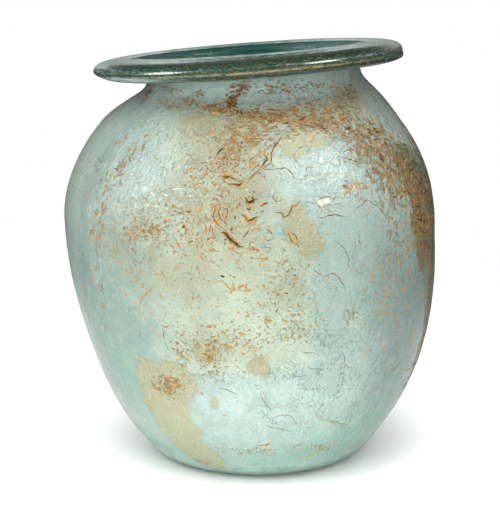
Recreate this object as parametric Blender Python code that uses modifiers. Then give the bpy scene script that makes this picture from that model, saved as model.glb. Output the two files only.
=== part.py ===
"""A blown glass cinerary urn: one hollow vessel with a folded, rolled rim.

Sizes are in metres and +Z is up. The origin is the middle of the foot, on the surface that the urn stands on.
The rim's low side is at -X. The lip stands highest at -Y, which is the urn's front.
"""

import math

import bpy

# Body, outside
BELLY_RADIUS = 0.1030
BELLY_HEIGHT = 0.1326
SHOULDER_RISE = 0.0928
SHOULDER_FULLNESS = 1.945
FOOT_RADIUS = 0.0565
FOOT_ROUNDING = 0.0040
BODY_FULLNESS = 2.17

# Glass
WALL = 0.0030
NECK_WALL = 0.0036
FLOOR_THICKNESS = 0.0050
FLOOR_ROUNDING = 0.0160

# Neck: a short concave stretch between the shoulder and the flange
NECK_RADIUS = 0.0580
NECK_LENGTH = 0.0152
NECK_ROUNDING = 0.0050

# Rim: a flat flange whose edge is folded under and back into a solid roll
RIM_OVERHANG = 0.0263
ROLL_WIDTH = 0.0135
ROLL_THICKNESS = 0.0093
FLANGE_THICKNESS = 0.0042
FOLD_STEP = 0.0007
FOLD_WIDTH = 0.0090
LIP_BEAD = 0.0006
LIP_ROUNDING = 0.0055

# How the hot glass settled out of true
STRAIGHT_HEIGHT = 0.0510
BELLY_SHIFT = -0.0047
BELLY_SHIFT_LAG = 0.0120
NECK_SHIFT = -0.0025
RIM_SHIFT = -0.0056
SAG_DEPTH = 0.0300
RIM_SLOPE = math.radians(4.2)
RIM_PITCH = math.radians(-0.3)
LIP_RISE = 0.0010
LIP_TILT = 0.0014

# Facets
SEGMENTS = 64
BODY_STEPS = 14
INNER_STEPS = 9
SHOULDER_STEPS = 8
ROLL_STEPS = 12
BEND_STEPS = 3
MERGE_DISTANCE = 0.00001

# Finish
GLASS_COLOUR = (0.38, 0.56, 0.51, 1.0)
GLASS_ROUGHNESS = 0.35
SMOOTH_ANGLE = math.radians(35)


def smooth_step(share):
    """Eases from 0 to 1 as share goes from 0 to 1."""
    share = min(max(share, 0.0), 1.0)
    return share * share * (3 - 2 * share)


def spread(first, last, steps):
    """Evenly spaced numbers from first to last, both included."""
    return [first + (last - first) * step / steps for step in range(steps + 1)]


def bend(start, corner, end, steps):
    """Points of a rounded corner, from start to end, that leans towards corner."""
    points = []
    for t in spread(0.0, 1.0, steps):
        weights = ((1 - t) ** 2, 2 * t * (1 - t), t * t)
        radius = weights[0] * start[0] + weights[1] * corner[0] + weights[2] * end[0]
        height = weights[0] * start[1] + weights[1] * corner[1] + weights[2] * end[1]
        points.append((radius, height))
    return points


def closing_depth():
    """How far below the belly the body's lower curve would close if the foot didn't cut it off."""
    foot_share = 1 - (FOOT_RADIUS / BELLY_RADIUS) ** BODY_FULLNESS
    return BELLY_HEIGHT / foot_share ** (1 / BODY_FULLNESS)


def body_point(angle):
    """(radius, height) on the outside of the body; angle is 0 at the belly and positive above it."""
    depth = SHOULDER_RISE if angle > 0 else -closing_depth()
    power = 2 / (SHOULDER_FULLNESS if angle > 0 else BODY_FULLNESS)
    radius = BELLY_RADIUS * math.cos(angle) ** power
    height = BELLY_HEIGHT + depth * math.sin(abs(angle)) ** power
    return radius, height


def angle_at_height(height):
    """The angle below the belly at which the body reaches this height."""
    share = (BELLY_HEIGHT - height) / closing_depth()
    return -math.asin(share ** (BODY_FULLNESS / 2))


def angle_at_radius(radius):
    """The angle above the belly at which the shoulder narrows to this radius."""
    return math.acos((radius / BELLY_RADIUS) ** (SHOULDER_FULLNESS / 2))


# Sizes that follow from the ones above
SHOULDER_ANGLE = angle_at_radius(NECK_RADIUS + NECK_ROUNDING)
FLANGE_UNDERSIDE = body_point(SHOULDER_ANGLE)[1] + NECK_LENGTH
WAIST_HEIGHT = FLANGE_UNDERSIDE - NECK_ROUNDING
RIM_TOP = FLANGE_UNDERSIDE + FLANGE_THICKNESS
RIM_HEIGHT = RIM_TOP - ROLL_THICKNESS / 2
FLANGE_TOP = RIM_TOP - FOLD_STEP
MOUTH_RADIUS = NECK_RADIUS - NECK_WALL
ROLL_RADIUS = NECK_RADIUS + RIM_OVERHANG - ROLL_WIDTH / 2
FOLD_RADIUS = ROLL_RADIUS - FOLD_WIDTH
SHIFT_END = BELLY_HEIGHT + BELLY_SHIFT_LAG
SAG_START = WAIST_HEIGHT - SAG_DEPTH


def body_curve(low_angle, steps_below):
    """Outside points from low_angle up to where the shoulder turns into the neck."""
    below = spread(low_angle, 0.0, steps_below)
    above = spread(0.0, SHOULDER_ANGLE, SHOULDER_STEPS)
    return [body_point(angle) for angle in below + above[1:]]


def crossing_at_radius(curve, radius):
    """Where the curve's last stretch, carried on straight, reaches this radius."""
    (r0, z0), (r1, z1) = curve[-2:]
    return radius, z1 + (radius - r1) * (z1 - z0) / (r1 - r0)


def inwards(curve):
    """The inside of a stretch of wall, each point moved along its own normal."""
    moved = []
    for index, (radius, height) in enumerate(curve):
        before = curve[max(index - 1, 0)]
        after = curve[min(index + 1, len(curve) - 1)]
        along = (after[0] - before[0], after[1] - before[1])
        length = math.hypot(*along)
        wall = WALL + (NECK_WALL - WALL) * smooth_step((height - SAG_START) / SAG_DEPTH)
        moved.append((radius - wall * along[1] / length, height + wall * along[0] / length))
    return moved


def inner_floor(wall_foot, wall_next):
    """From the middle of the inner floor out to the foot of the inner wall."""
    slope = (wall_next[0] - wall_foot[0]) / (wall_next[1] - wall_foot[1])
    corner = (wall_foot[0] - slope * (wall_foot[1] - FLOOR_THICKNESS), FLOOR_THICKNESS)
    edge = (corner[0] - FLOOR_ROUNDING, FLOOR_THICKNESS)
    return [(0.0, FLOOR_THICKNESS)] + bend(edge, corner, wall_foot, BEND_STEPS)[:-1]


def mouth_and_flange():
    """From the inside of the neck, over the lip and along the flange's top to the fold."""
    bead_top = FLANGE_TOP + LIP_BEAD
    lip_start = (MOUTH_RADIUS, bead_top - LIP_ROUNDING)
    lip_end = (MOUTH_RADIUS + LIP_ROUNDING, bead_top)
    lip = bend(lip_start, (MOUTH_RADIUS, bead_top), lip_end, BEND_STEPS + 1)
    flange_start = (lip_end[0] + LIP_ROUNDING / 2, FLANGE_TOP)
    step_foot = (FOLD_RADIUS, FLANGE_TOP)
    step_head = (FOLD_RADIUS + 2 * FOLD_STEP, RIM_TOP - FOLD_STEP / 4)
    return lip + [flange_start, step_foot, step_head]


def roll():
    """The rolled edge, from its top, over the outside and underneath to where the fold closes."""
    points = []
    for angle in spread(math.pi / 2, -math.pi, ROLL_STEPS):
        radius = ROLL_RADIUS + ROLL_WIDTH / 2 * math.cos(angle)
        height = RIM_HEIGHT + ROLL_THICKNESS / 2 * math.sin(angle)
        points.append((radius, height))
    return points


def foot_edge(wall_end):
    """From the end of the body's wall round to the flat underside."""
    corner = (FOOT_RADIUS, 0.0)
    return bend(wall_end, corner, (FOOT_RADIUS - FOOT_ROUNDING, 0.0), BEND_STEPS)


def urn_profile():
    """The section of the wall, from the middle of the inner floor round to the middle of the underside."""
    outside = body_curve(angle_at_height(FOOT_ROUNDING), BODY_STEPS)
    waist = (NECK_RADIUS, WAIST_HEIGHT)
    neck = bend(outside[-1], crossing_at_radius(outside, NECK_RADIUS), waist, BEND_STEPS)
    flange_corner = (NECK_RADIUS, FLANGE_UNDERSIDE)
    flange_root = (NECK_RADIUS + NECK_ROUNDING, FLANGE_UNDERSIDE)
    under_flange = bend(waist, flange_corner, flange_root, BEND_STEPS)
    inner_angle = angle_at_height(FLOOR_THICKNESS + FLOOR_ROUNDING / 2)
    inside = inwards(body_curve(inner_angle, INNER_STEPS) + neck[1:])
    up_the_inside = inner_floor(inside[0], inside[1]) + inside
    over_the_rim = mouth_and_flange() + roll()
    down_the_outside = under_flange[::-1] + neck[::-1][1:] + outside[::-1][1:]
    underside = foot_edge(outside[0])[1:] + [(0.0, 0.0)]
    return up_the_inside + over_the_rim + down_the_outside + underside


def axis_shift(height):
    """How far the middle of the vessel has moved along X at this height."""
    to_belly = smooth_step((height - STRAIGHT_HEIGHT) / (SHIFT_END - STRAIGHT_HEIGHT))
    to_neck = smooth_step((height - SHIFT_END) / (WAIST_HEIGHT - SHIFT_END))
    to_rim = smooth_step((height - WAIST_HEIGHT) / (RIM_HEIGHT - WAIST_HEIGHT))
    shift = BELLY_SHIFT * to_belly
    shift += (NECK_SHIFT - BELLY_SHIFT) * to_neck
    shift += (RIM_SHIFT - NECK_SHIFT) * to_rim
    return shift


def settle(x, y, z):
    """Where a point of the true turned shape ended up: leaning body, sagging rim and uneven lip."""
    radius = math.hypot(x, y)
    sag_share = smooth_step((z - SAG_START) / SAG_DEPTH)
    sag = math.tan(RIM_SLOPE) * x + math.tan(RIM_PITCH) * y
    above_waist = smooth_step((z - WAIST_HEIGHT) / (FLANGE_TOP - WAIST_HEIGHT))
    lip_width = ROLL_RADIUS - MOUTH_RADIUS - LIP_ROUNDING
    lip_share = above_waist * smooth_step((ROLL_RADIUS - radius) / lip_width)
    lip = LIP_RISE - LIP_TILT * y / max(radius, MOUTH_RADIUS)
    return x + axis_shift(z), y, z + sag_share * sag + lip_share * lip


def clear_scene():
    """Removes whatever the scene holds, so that only the urn is left in it."""
    for found in list(bpy.data.objects):
        bpy.data.objects.remove(found)


def make_glass():
    """Weathered blue-green glass, as one plain colour."""
    glass = bpy.data.materials.new("weathered_glass")
    glass.use_nodes = True
    shader = glass.node_tree.nodes["Principled BSDF"]
    shader.inputs["Base Color"].default_value = GLASS_COLOUR
    shader.inputs["Roughness"].default_value = GLASS_ROUGHNESS
    shader.inputs["Metallic"].default_value = 0.0
    glass.diffuse_color = GLASS_COLOUR
    return glass


def turn(name, profile):
    """An object with the profile turned once round the Z axis."""
    section = bpy.data.meshes.new(name)
    edges = [(index, index + 1) for index in range(len(profile) - 1)]
    section.from_pydata([(radius, 0.0, height) for radius, height in profile], edges, [])
    obj = bpy.data.objects.new(name, section)
    screw = obj.modifiers.new("turn", "SCREW")
    screw.axis = "Z"
    screw.steps = SEGMENTS
    screw.render_steps = SEGMENTS
    screw.use_merge_vertices = True
    screw.merge_threshold = MERGE_DISTANCE
    return obj


def build_urn():
    """The whole vessel: turned true, then settled out of true as the hot glass did."""
    parts = bpy.data.collections.new("Glass cinerary urn")
    bpy.context.scene.collection.children.link(parts)
    urn = turn("urn", urn_profile())
    parts.objects.link(urn)
    bpy.context.view_layer.update()
    graph = bpy.context.evaluated_depsgraph_get()
    turned = bpy.data.meshes.new_from_object(urn.evaluated_get(graph))
    for vertex in turned.vertices:
        vertex.co = settle(*vertex.co)
    urn.modifiers.clear()
    urn.data = turned
    turned.materials.clear()
    turned.materials.append(make_glass())
    turned.shade_smooth()
    turned.set_sharp_from_angle(angle=SMOOTH_ANGLE)
    return urn


clear_scene()
build_urn()
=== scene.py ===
# %% [markdown]
# # A glass cinerary urn
# One piece of blown glass: an ovoid body, a short neck, and a wide flange whose edge was folded into a
# roll. It lay in the ground for a long time, so the glass is under a thin skin that flakes off in
# layers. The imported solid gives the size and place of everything, and the cells below make the surface
# that is seen.

import math
import random

import bpy
import numpy as np
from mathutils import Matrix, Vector, noise
from mathutils.bvhtree import BVHTree


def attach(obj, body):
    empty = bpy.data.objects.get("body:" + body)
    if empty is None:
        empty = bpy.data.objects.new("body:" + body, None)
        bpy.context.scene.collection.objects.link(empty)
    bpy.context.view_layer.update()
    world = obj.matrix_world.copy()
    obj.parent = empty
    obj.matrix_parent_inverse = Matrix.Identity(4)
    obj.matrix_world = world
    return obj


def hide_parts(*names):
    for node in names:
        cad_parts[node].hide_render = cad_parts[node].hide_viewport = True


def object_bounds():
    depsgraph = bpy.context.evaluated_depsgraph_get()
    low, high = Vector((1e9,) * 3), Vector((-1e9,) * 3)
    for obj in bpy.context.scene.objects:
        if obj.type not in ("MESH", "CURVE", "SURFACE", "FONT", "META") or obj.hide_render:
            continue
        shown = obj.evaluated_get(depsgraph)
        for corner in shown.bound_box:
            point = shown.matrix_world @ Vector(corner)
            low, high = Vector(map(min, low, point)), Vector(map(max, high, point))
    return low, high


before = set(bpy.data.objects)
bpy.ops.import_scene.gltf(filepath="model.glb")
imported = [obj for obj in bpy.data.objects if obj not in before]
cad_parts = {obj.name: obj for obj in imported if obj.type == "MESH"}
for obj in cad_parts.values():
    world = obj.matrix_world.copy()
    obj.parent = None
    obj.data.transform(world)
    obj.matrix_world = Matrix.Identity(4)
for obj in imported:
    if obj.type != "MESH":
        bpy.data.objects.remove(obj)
solid_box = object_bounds()
solid_low, solid_high = (np.array(corner) * 1000 for corner in solid_box)
print("solid box in mm:", solid_low.round(1), solid_high.round(1))

# %% [markdown]
# ## The camera
# A long lens looks down a little, so the mouth shows as a thin slit and the rim's front edge hides the
# neck. The colours are shown as they are measured, without a film look, so a white floor comes out
# white.

# %% Place the camera
MM = 0.001
CAMERA_PLACE = Vector((0.0, -850.0, 284.5)) * MM
CAMERA_AIM = Vector((-4.3, 0.0, 109.0)) * MM
LENS = 108.1


def add_object(name, data):
    """A new object in the scene, holding this data."""
    made = bpy.data.objects.new(name, data)
    bpy.context.scene.collection.objects.link(made)
    return made


def point_at(thing, place, aim):
    """Puts a camera or lamp at place and turns it to look at aim."""
    thing.location = place
    thing.rotation_euler = (aim - place).to_track_quat("-Z", "Y").to_euler()


camera_data = bpy.data.cameras.new("camera")
camera_data.lens = LENS
camera = add_object("camera", camera_data)
point_at(camera, CAMERA_PLACE, CAMERA_AIM)
bpy.context.scene.camera = camera
bpy.context.scene.view_settings.view_transform = "Standard"
view_line = CAMERA_AIM - CAMERA_PLACE
print("camera looks down", round(math.degrees(math.asin(-view_line.z / view_line.length)), 1), "degrees")

# %% [markdown]
# ## A node helper
# Materials are built by code, so one small function makes a node, sets its values and joins its inputs.

# %% Put nodes in a tree


def put(tree, kind, inputs=None, **settings):
    """A new shader node; an input is set to a value, or joined when it is given another node's output."""
    made = tree.nodes.new("ShaderNode" + kind)
    for name, value in settings.items():
        setattr(made, name, value)
    for key, value in (inputs or {}).items():
        if isinstance(value, bpy.types.NodeSocket):
            tree.links.new(value, made.inputs[key])
        else:
            made.inputs[key].default_value = value
    return made


def from_screen(red, green, blue):
    """A colour as a shader wants it, from the 0 to 255 values that a screen shows."""
    shares = [value / 255 for value in (red, green, blue)]
    linear = [s / 12.92 if s <= 0.04045 else ((s + 0.055) / 1.055) ** 2.4 for s in shares]
    return (*linear, 1.0)


# %% [markdown]
# ## The light
# A broad light in front shapes the belly, and two soft boxes at the sides leave the soft glints on the
# shoulder. Lamps are set by where they hang round the urn, in degrees from the front and above the
# ground.

# %% Hang the lamps
URN_MIDDLE = Vector((0.0, 0.0, 120.0)) * MM


def soft_box(name, side_degrees, up_degrees, distance, size, power):
    """A rectangular lamp that faces the urn; distance and size are in metres."""
    side, up = math.radians(side_degrees), math.radians(up_degrees)
    away = Vector((math.sin(side) * math.cos(up), -math.cos(side) * math.cos(up), math.sin(up)))
    data = bpy.data.lights.new(name, "AREA")
    data.shape = "RECTANGLE"
    data.size, data.size_y = size
    data.energy = power
    lamp = add_object(name, data)
    point_at(lamp, URN_MIDDLE + away * distance, URN_MIDDLE)
    return lamp


front_light = soft_box("front light", -6, 6, 2.2, (1.0, 1.0), 35)
top_light = soft_box("top light", -6, 60, 1.3, (0.8, 0.8), 10.4)
left_light = soft_box("left light", -82, 30, 1.3, (0.5, 0.8), 5.1)
right_light = soft_box("right light", 82, 38, 1.3, (0.5, 0.8), 2.8)
for lamp in (front_light, top_light, left_light, right_light):
    lamp.visible_glossy = False
    lamp.visible_transmission = False
left_glint = soft_box("left glint", -70, 31, 1.1, (0.46, 0.50), 14.0)
right_glint = soft_box("right glint", 58, 41, 1.1, (0.34, 0.36), 9.5)
for lamp in (left_glint, right_glint):
    lamp.visible_diffuse = False
    lamp.visible_transmission = False
floor_light = soft_box("floor light", 0, 90, 1.6, (3.0, 3.0), 58)

# %% [markdown]
# ## The floor and the room
# The floor is a white disc that fades out into a white background. It has a lamp of its own overhead.
# That lamp reaches only the floor, so the floor stays white round the urn's soft shadow.

# %% Lay the floor
FLOOR_RADIUS = 520.0
FLOOR_WHITE = (0.90, 0.90, 0.90, 1.0)
FLOOR_DIM = (0.775, 0.775, 0.775, 1.0)
FADE_START, FADE_END = 0.3, 0.98


def floor_disc(radius, rings=24, spokes=96):
    """A flat disc of rings, in metres, at the height the urn stands on."""
    points = [(0.0, 0.0, 0.0)]
    for ring in range(1, rings + 1):
        for spoke in range(spokes):
            angle = 2 * math.pi * spoke / spokes
            reach = radius * ring / rings
            points.append((reach * math.cos(angle), reach * math.sin(angle), 0.0))
    faces = [(0, 1 + s, 1 + (s + 1) % spokes) for s in range(spokes)]
    for ring in range(rings - 1):
        first = 1 + ring * spokes
        for s in range(spokes):
            after = (s + 1) % spokes
            faces.append((first + s, first + spokes + s, first + spokes + after, first + after))
    mesh = bpy.data.meshes.new("floor")
    mesh.from_pydata(points, [], faces)
    return mesh


floor = add_object("floor", floor_disc(FLOOR_RADIUS * MM))
floor.location.z = -0.0002
paper = bpy.data.materials.new("white_paper")
paper.use_nodes = True
tree = paper.node_tree
tree.nodes["Principled BSDF"].inputs["Base Color"].default_value = FLOOR_WHITE
tree.nodes["Principled BSDF"].inputs["Roughness"].default_value = 0.9
tree.nodes["Principled BSDF"].inputs["Specular IOR Level"].default_value = 0.1
place = put(tree, "TexCoord").outputs["Object"]
reach = put(tree, "VectorMath", {0: place}, operation="LENGTH").outputs["Value"]
fade = put(tree, "MapRange", {
    "Value": reach, "From Min": FADE_START * FLOOR_RADIUS * MM, "From Max": FADE_END * FLOOR_RADIUS * MM,
}, interpolation_type="SMOOTHSTEP").outputs["Result"]
clear = put(tree, "BsdfTransparent").outputs[0]
looked_at = put(tree, "LightPath").outputs["Is Camera Ray"]
dim = put(tree, "BsdfDiffuse", {"Color": FLOOR_DIM}).outputs[0]
white = tree.nodes["Principled BSDF"].outputs[0]
sheet = put(tree, "MixShader", {0: looked_at, 1: dim, 2: white}).outputs[0]
both = put(tree, "MixShader", {0: fade, 1: sheet, 2: clear})
tree.links.new(both.outputs[0], tree.nodes["Material Output"].inputs["Surface"])
floor.data.materials.append(paper)

light_group = bpy.data.collections.new("lit by the floor light")
light_group.objects.link(floor)
floor_light.light_linking.receiver_collection = light_group

# %% [markdown]
# ## The room
# Glass mirrors what stands round it, so the room matters as much as the lamps. A studio is pale at the
# sides and darker overhead, behind and below, and that gives the urn its soft dark edges. The camera
# itself sees plain white.

# %% Light the room
ROOM_SIDES = 0.26
ROOM_BACK = 0.06
ROOM_BELOW = 0.30
ROOM_TOP = 0.30
world = bpy.data.worlds.new("room")
bpy.context.scene.world = world
world.use_nodes = True
tree = world.node_tree
direction = put(tree, "TexCoord").outputs["Generated"]
parts = put(tree, "SeparateXYZ", {0: direction}).outputs


def fade_between(value, low, high, at_low, at_high):
    """A smooth change of strength as a direction goes from low to high."""
    return put(tree, "MapRange", {
        "Value": value, "From Min": low, "From Max": high, "To Min": at_low, "To Max": at_high,
    }, interpolation_type="SMOOTHSTEP").outputs["Result"]


behind = fade_between(parts["Y"], 0.55, 0.98, ROOM_SIDES, ROOM_BACK)
over = fade_between(parts["Z"], 0.25, 0.80, 1.0, ROOM_TOP)
under = fade_between(parts["Z"], -0.15, 0.02, ROOM_BELOW, 1.0)
glow = put(tree, "Math", {0: behind, 1: over}, operation="MULTIPLY").outputs[0]
glow = put(tree, "Math", {0: glow, 1: under}, operation="MULTIPLY").outputs[0]
room = put(tree, "Background", {"Color": (1, 1, 1, 1), "Strength": glow}).outputs[0]
backdrop = put(tree, "Background", {"Color": (1, 1, 1, 1), "Strength": 1.0}).outputs[0]
seen = put(tree, "LightPath").outputs["Is Camera Ray"]
choice = put(tree, "MixShader", {0: seen, 1: room, 2: backdrop})
tree.links.new(choice.outputs[0], tree.nodes["World Output"].inputs["Surface"])

# %% [markdown]
# ## The section of the wall
# A blown vessel is turned in the hand, so it starts as a section that is swung once round the upright
# axis. The sizes are the solid's own, in millimetres. The section is cut into short steps, shorter where
# relief comes.

# %% Draw the section
BELLY_RADIUS, BELLY_HEIGHT = 103.0, 132.6
SHOULDER_RISE, SHOULDER_FULLNESS, BODY_FULLNESS = 92.8, 1.945, 2.17
FOOT_RADIUS, FOOT_ROUNDING = 56.5, 4.0
WALL, NECK_WALL, FLOOR_THICKNESS, FLOOR_ROUNDING = 3.0, 3.6, 5.0, 16.0
NECK_RADIUS, NECK_LENGTH, NECK_ROUNDING = 58.0, 15.2, 5.0
RIM_OVERHANG, ROLL_WIDTH, ROLL_THICKNESS = 26.3, 13.5, 9.3
FLANGE_THICKNESS, FOLD_STEP, FOLD_WIDTH = 4.2, 0.7, 9.0
LIP_BEAD, LIP_ROUNDING = 0.6, 5.5
SAG_DEPTH = 30.0


def smooth_step(share):
    """Eases from 0 to 1 as share goes from 0 to 1."""
    share = np.clip(share, 0.0, 1.0)
    return share * share * (3 - 2 * share)


def bend(start, corner, end, steps=24):
    """Points of a rounded corner, from start to end, that leans towards corner."""
    t = np.linspace(0, 1, steps)[:, None]
    start, corner, end = (np.array(point, float) for point in (start, corner, end))
    return (1 - t) ** 2 * start + 2 * t * (1 - t) * corner + t * t * end


foot_share = 1 - (FOOT_RADIUS / BELLY_RADIUS) ** BODY_FULLNESS
CLOSING_DEPTH = BELLY_HEIGHT / foot_share ** (1 / BODY_FULLNESS)


def body_points(angles):
    """(radius, height) on the outside of the body; an angle is 0 at the belly and positive above it."""
    above = angles > 0
    power = 2 / np.where(above, SHOULDER_FULLNESS, BODY_FULLNESS)
    depth = np.where(above, SHOULDER_RISE, -CLOSING_DEPTH)
    radius = BELLY_RADIUS * np.cos(angles) ** power
    return np.stack([radius, BELLY_HEIGHT + depth * np.sin(np.abs(angles)) ** power], 1)


def angle_at_height(height):
    """The angle below the belly at which the body reaches this height."""
    return -math.asin(((BELLY_HEIGHT - height) / CLOSING_DEPTH) ** (BODY_FULLNESS / 2))


shoulder_angle = math.acos(((NECK_RADIUS + NECK_ROUNDING) / BELLY_RADIUS) ** (SHOULDER_FULLNESS / 2))
outside = body_points(np.linspace(angle_at_height(FOOT_ROUNDING), shoulder_angle, 400))
FLANGE_UNDERSIDE = outside[-1][1] + NECK_LENGTH
WAIST_HEIGHT = FLANGE_UNDERSIDE - NECK_ROUNDING
RIM_TOP = FLANGE_UNDERSIDE + FLANGE_THICKNESS
RIM_HEIGHT = RIM_TOP - ROLL_THICKNESS / 2
FLANGE_TOP = RIM_TOP - FOLD_STEP
MOUTH_RADIUS = NECK_RADIUS - NECK_WALL
ROLL_RADIUS = NECK_RADIUS + RIM_OVERHANG - ROLL_WIDTH / 2
FOLD_RADIUS = ROLL_RADIUS - FOLD_WIDTH

slope = (outside[-1] - outside[-2]) / (outside[-1] - outside[-2])[0]
neck_corner = outside[-1] + slope * (NECK_RADIUS - outside[-1][0])
neck = bend(outside[-1], neck_corner, (NECK_RADIUS, WAIST_HEIGHT))
root = (NECK_RADIUS + NECK_ROUNDING, FLANGE_UNDERSIDE)
under_flange = bend((NECK_RADIUS, WAIST_HEIGHT), (NECK_RADIUS, FLANGE_UNDERSIDE), root)
print("the section runs up to", round(RIM_TOP, 1), "mm; the mouth is", round(2 * MOUTH_RADIUS, 1), "mm wide")

# %% [markdown]
# ## The inside and the rim
# The inside runs along the outside, one wall's thickness away. The rim was made by folding the edge of
# the flange under and back, which left a solid roll, so the roll is an ellipse that starts at the small
# step of the fold.

# %% Draw the inside and the rim


def inwards(curve):
    """The inside of a stretch of wall, each point moved along its own normal."""
    along = np.gradient(curve, axis=0)
    along /= np.linalg.norm(along, axis=1)[:, None]
    wall = WALL + (NECK_WALL - WALL) * smooth_step((curve[:, 1] - WAIST_HEIGHT + SAG_DEPTH) / SAG_DEPTH)
    return curve + wall[:, None] * np.stack([-along[:, 1], along[:, 0]], 1)


inner_angle = angle_at_height(FLOOR_THICKNESS + FLOOR_ROUNDING / 2)
inner_wall = inwards(np.concatenate([body_points(np.linspace(inner_angle, shoulder_angle, 300)), neck[1:]]))
slope = (inner_wall[1] - inner_wall[0])[0] / (inner_wall[1] - inner_wall[0])[1]
floor_corner = (inner_wall[0][0] - slope * (inner_wall[0][1] - FLOOR_THICKNESS), FLOOR_THICKNESS)
floor_edge = (floor_corner[0] - FLOOR_ROUNDING, FLOOR_THICKNESS)
inner_floor = np.concatenate([[(0.0, FLOOR_THICKNESS)], bend(floor_edge, floor_corner, inner_wall[0])])

bead_top = FLANGE_TOP + LIP_BEAD
lip = bend((MOUTH_RADIUS, bead_top - LIP_ROUNDING), (MOUTH_RADIUS, bead_top),
           (MOUTH_RADIUS + LIP_ROUNDING, bead_top))
flange = bend((MOUTH_RADIUS + LIP_ROUNDING, bead_top), (MOUTH_RADIUS + 1.6 * LIP_ROUNDING, FLANGE_TOP),
              (FOLD_RADIUS - FOLD_STEP, FLANGE_TOP))
fold = bend((FOLD_RADIUS - FOLD_STEP, FLANGE_TOP), (FOLD_RADIUS + FOLD_STEP, FLANGE_TOP - 0.3),
            (FOLD_RADIUS + 2.5 * FOLD_STEP, RIM_TOP - FOLD_STEP / 3))
turn = np.linspace(math.pi / 2, -math.pi, 120)
roll = np.stack([
    ROLL_RADIUS + ROLL_WIDTH / 2 * np.cos(turn),
    RIM_HEIGHT + ROLL_THICKNESS / 2 * np.sin(turn),
], 1)

foot = bend(outside[0], (FOOT_RADIUS, 0.0), (FOOT_RADIUS - FOOT_ROUNDING, 0.0))
underside = np.array([(FOOT_RADIUS - FOOT_ROUNDING, 0.0), (0.0, 0.0)])

# %% [markdown]
# ## Rows
# Each stretch of the section is cut into short even steps, and each step becomes a ring of points. The
# outside gets fine rows, because it carries relief and colour, and the inside and the underside get
# coarse ones.

# %% Cut the section into rows
ROW_STEPS = [
    ("floor", inner_floor, 8.0),
    ("inner wall", inner_wall, 6.0),
    ("lip", lip, 0.9),
    ("flange", np.concatenate([flange, fold]), 0.9),
    ("roll", roll, 0.9),
    ("neck", np.concatenate([under_flange[::-1], neck[::-1]]), 1.1),
    ("body", outside[::-1], 1.3),
    ("foot", foot, 1.2),
    ("underside", underside, 6.0),
]


def run_so_far(steps):
    """The length of a line up to each of its points, from the steps between them."""
    return np.concatenate([[0.0], np.cumsum(np.linalg.norm(steps, axis=1))])


def cut(curve, step):
    """Points at even distances along a curve, close to one step apart."""
    lengths = run_so_far(np.diff(curve, axis=0))
    marks = np.linspace(0, lengths[-1], max(2, round(lengths[-1] / step) + 1))
    return np.stack([np.interp(marks, lengths, curve[:, k]) for k in (0, 1)], 1)


rows, row_zone = [], []
for zone, curve, step in ROW_STEPS:
    points = cut(curve, step)
    if rows and np.linalg.norm(rows[-1] - points[0]) < 0.1:
        points = points[1:]
    rows.extend(points)
    row_zone.extend([zone] * len(points))
section = np.array(rows)
row_zone = np.array(row_zone)
print(len(section), "rows, of which", int((row_zone == "body").sum()), "are on the outside of the body")

# %% [markdown]
# ## Turning the section
# The columns stand closer together on the front, where the relief is seen from near, than on the back.
# Each column is the whole section, swung to its own angle.

# %% Turn it
FRONT_HALF_WIDTH = 96.0
FRONT_COLUMN, BACK_COLUMN = 0.84, 4.0
front_columns = round(2 * FRONT_HALF_WIDTH / FRONT_COLUMN)
back_columns = round((360 - 2 * FRONT_HALF_WIDTH) / BACK_COLUMN)
azimuths = np.concatenate([
    np.linspace(-FRONT_HALF_WIDTH, FRONT_HALF_WIDTH, front_columns, endpoint=False),
    np.linspace(FRONT_HALF_WIDTH, 360 - FRONT_HALF_WIDTH, back_columns, endpoint=False),
])
ring_rows = np.flatnonzero(section[:, 0] > 0.01)
radius = section[ring_rows, 0][:, None] * np.ones(len(azimuths))
height = section[ring_rows, 1][:, None] * np.ones(len(azimuths))
azimuth = np.ones(len(ring_rows))[:, None] * azimuths
zone = row_zone[ring_rows]
print(len(azimuths), "columns,", len(ring_rows), "rings")

# %% [markdown]
# ## How the hot glass settled
# No blown vessel comes out quite straight. The body leans to the left, the rim sank on that side, and the
# lip stands a little higher in front. Smooth shifts are added to the turned shape, so the section itself
# stays simple.

# %% Say how the hot glass settled
STRAIGHT_HEIGHT, BELLY_SHIFT, BELLY_SHIFT_LAG = 51.0, -4.7, 12.0
NECK_SHIFT, RIM_SHIFT = -2.5, -5.6
RIM_SLOPE, RIM_PITCH = math.tan(math.radians(4.2)), math.tan(math.radians(-0.3))
LIP_RISE, LIP_TILT = 1.0, 1.4
SHIFT_END = BELLY_HEIGHT + BELLY_SHIFT_LAG


def axis_shift(z):
    """How far the middle of the vessel has moved along X at this height."""
    to_belly = smooth_step((z - STRAIGHT_HEIGHT) / (SHIFT_END - STRAIGHT_HEIGHT))
    to_neck = smooth_step((z - SHIFT_END) / (WAIST_HEIGHT - SHIFT_END))
    to_rim = smooth_step((z - WAIST_HEIGHT) / (RIM_HEIGHT - WAIST_HEIGHT))
    return BELLY_SHIFT * to_belly + (NECK_SHIFT - BELLY_SHIFT) * to_neck + (RIM_SHIFT - NECK_SHIFT) * to_rim


def settle(x, y, z):
    """Where points of the true turned shape ended up: leaning body, sagging rim and uneven lip."""
    away = np.hypot(x, y)
    sag = smooth_step((z - WAIST_HEIGHT + SAG_DEPTH) / SAG_DEPTH) * (RIM_SLOPE * x + RIM_PITCH * y)
    above_waist = smooth_step((z - WAIST_HEIGHT) / (FLANGE_TOP - WAIST_HEIGHT))
    lip_width = ROLL_RADIUS - MOUTH_RADIUS - LIP_ROUNDING
    lip_share = above_waist * smooth_step((ROLL_RADIUS - away) / lip_width)
    lift = LIP_RISE - LIP_TILT * y / np.maximum(away, MOUTH_RADIUS)
    return np.stack([x + axis_shift(z), y, z + sag + lip_share * lift], -1)


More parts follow.
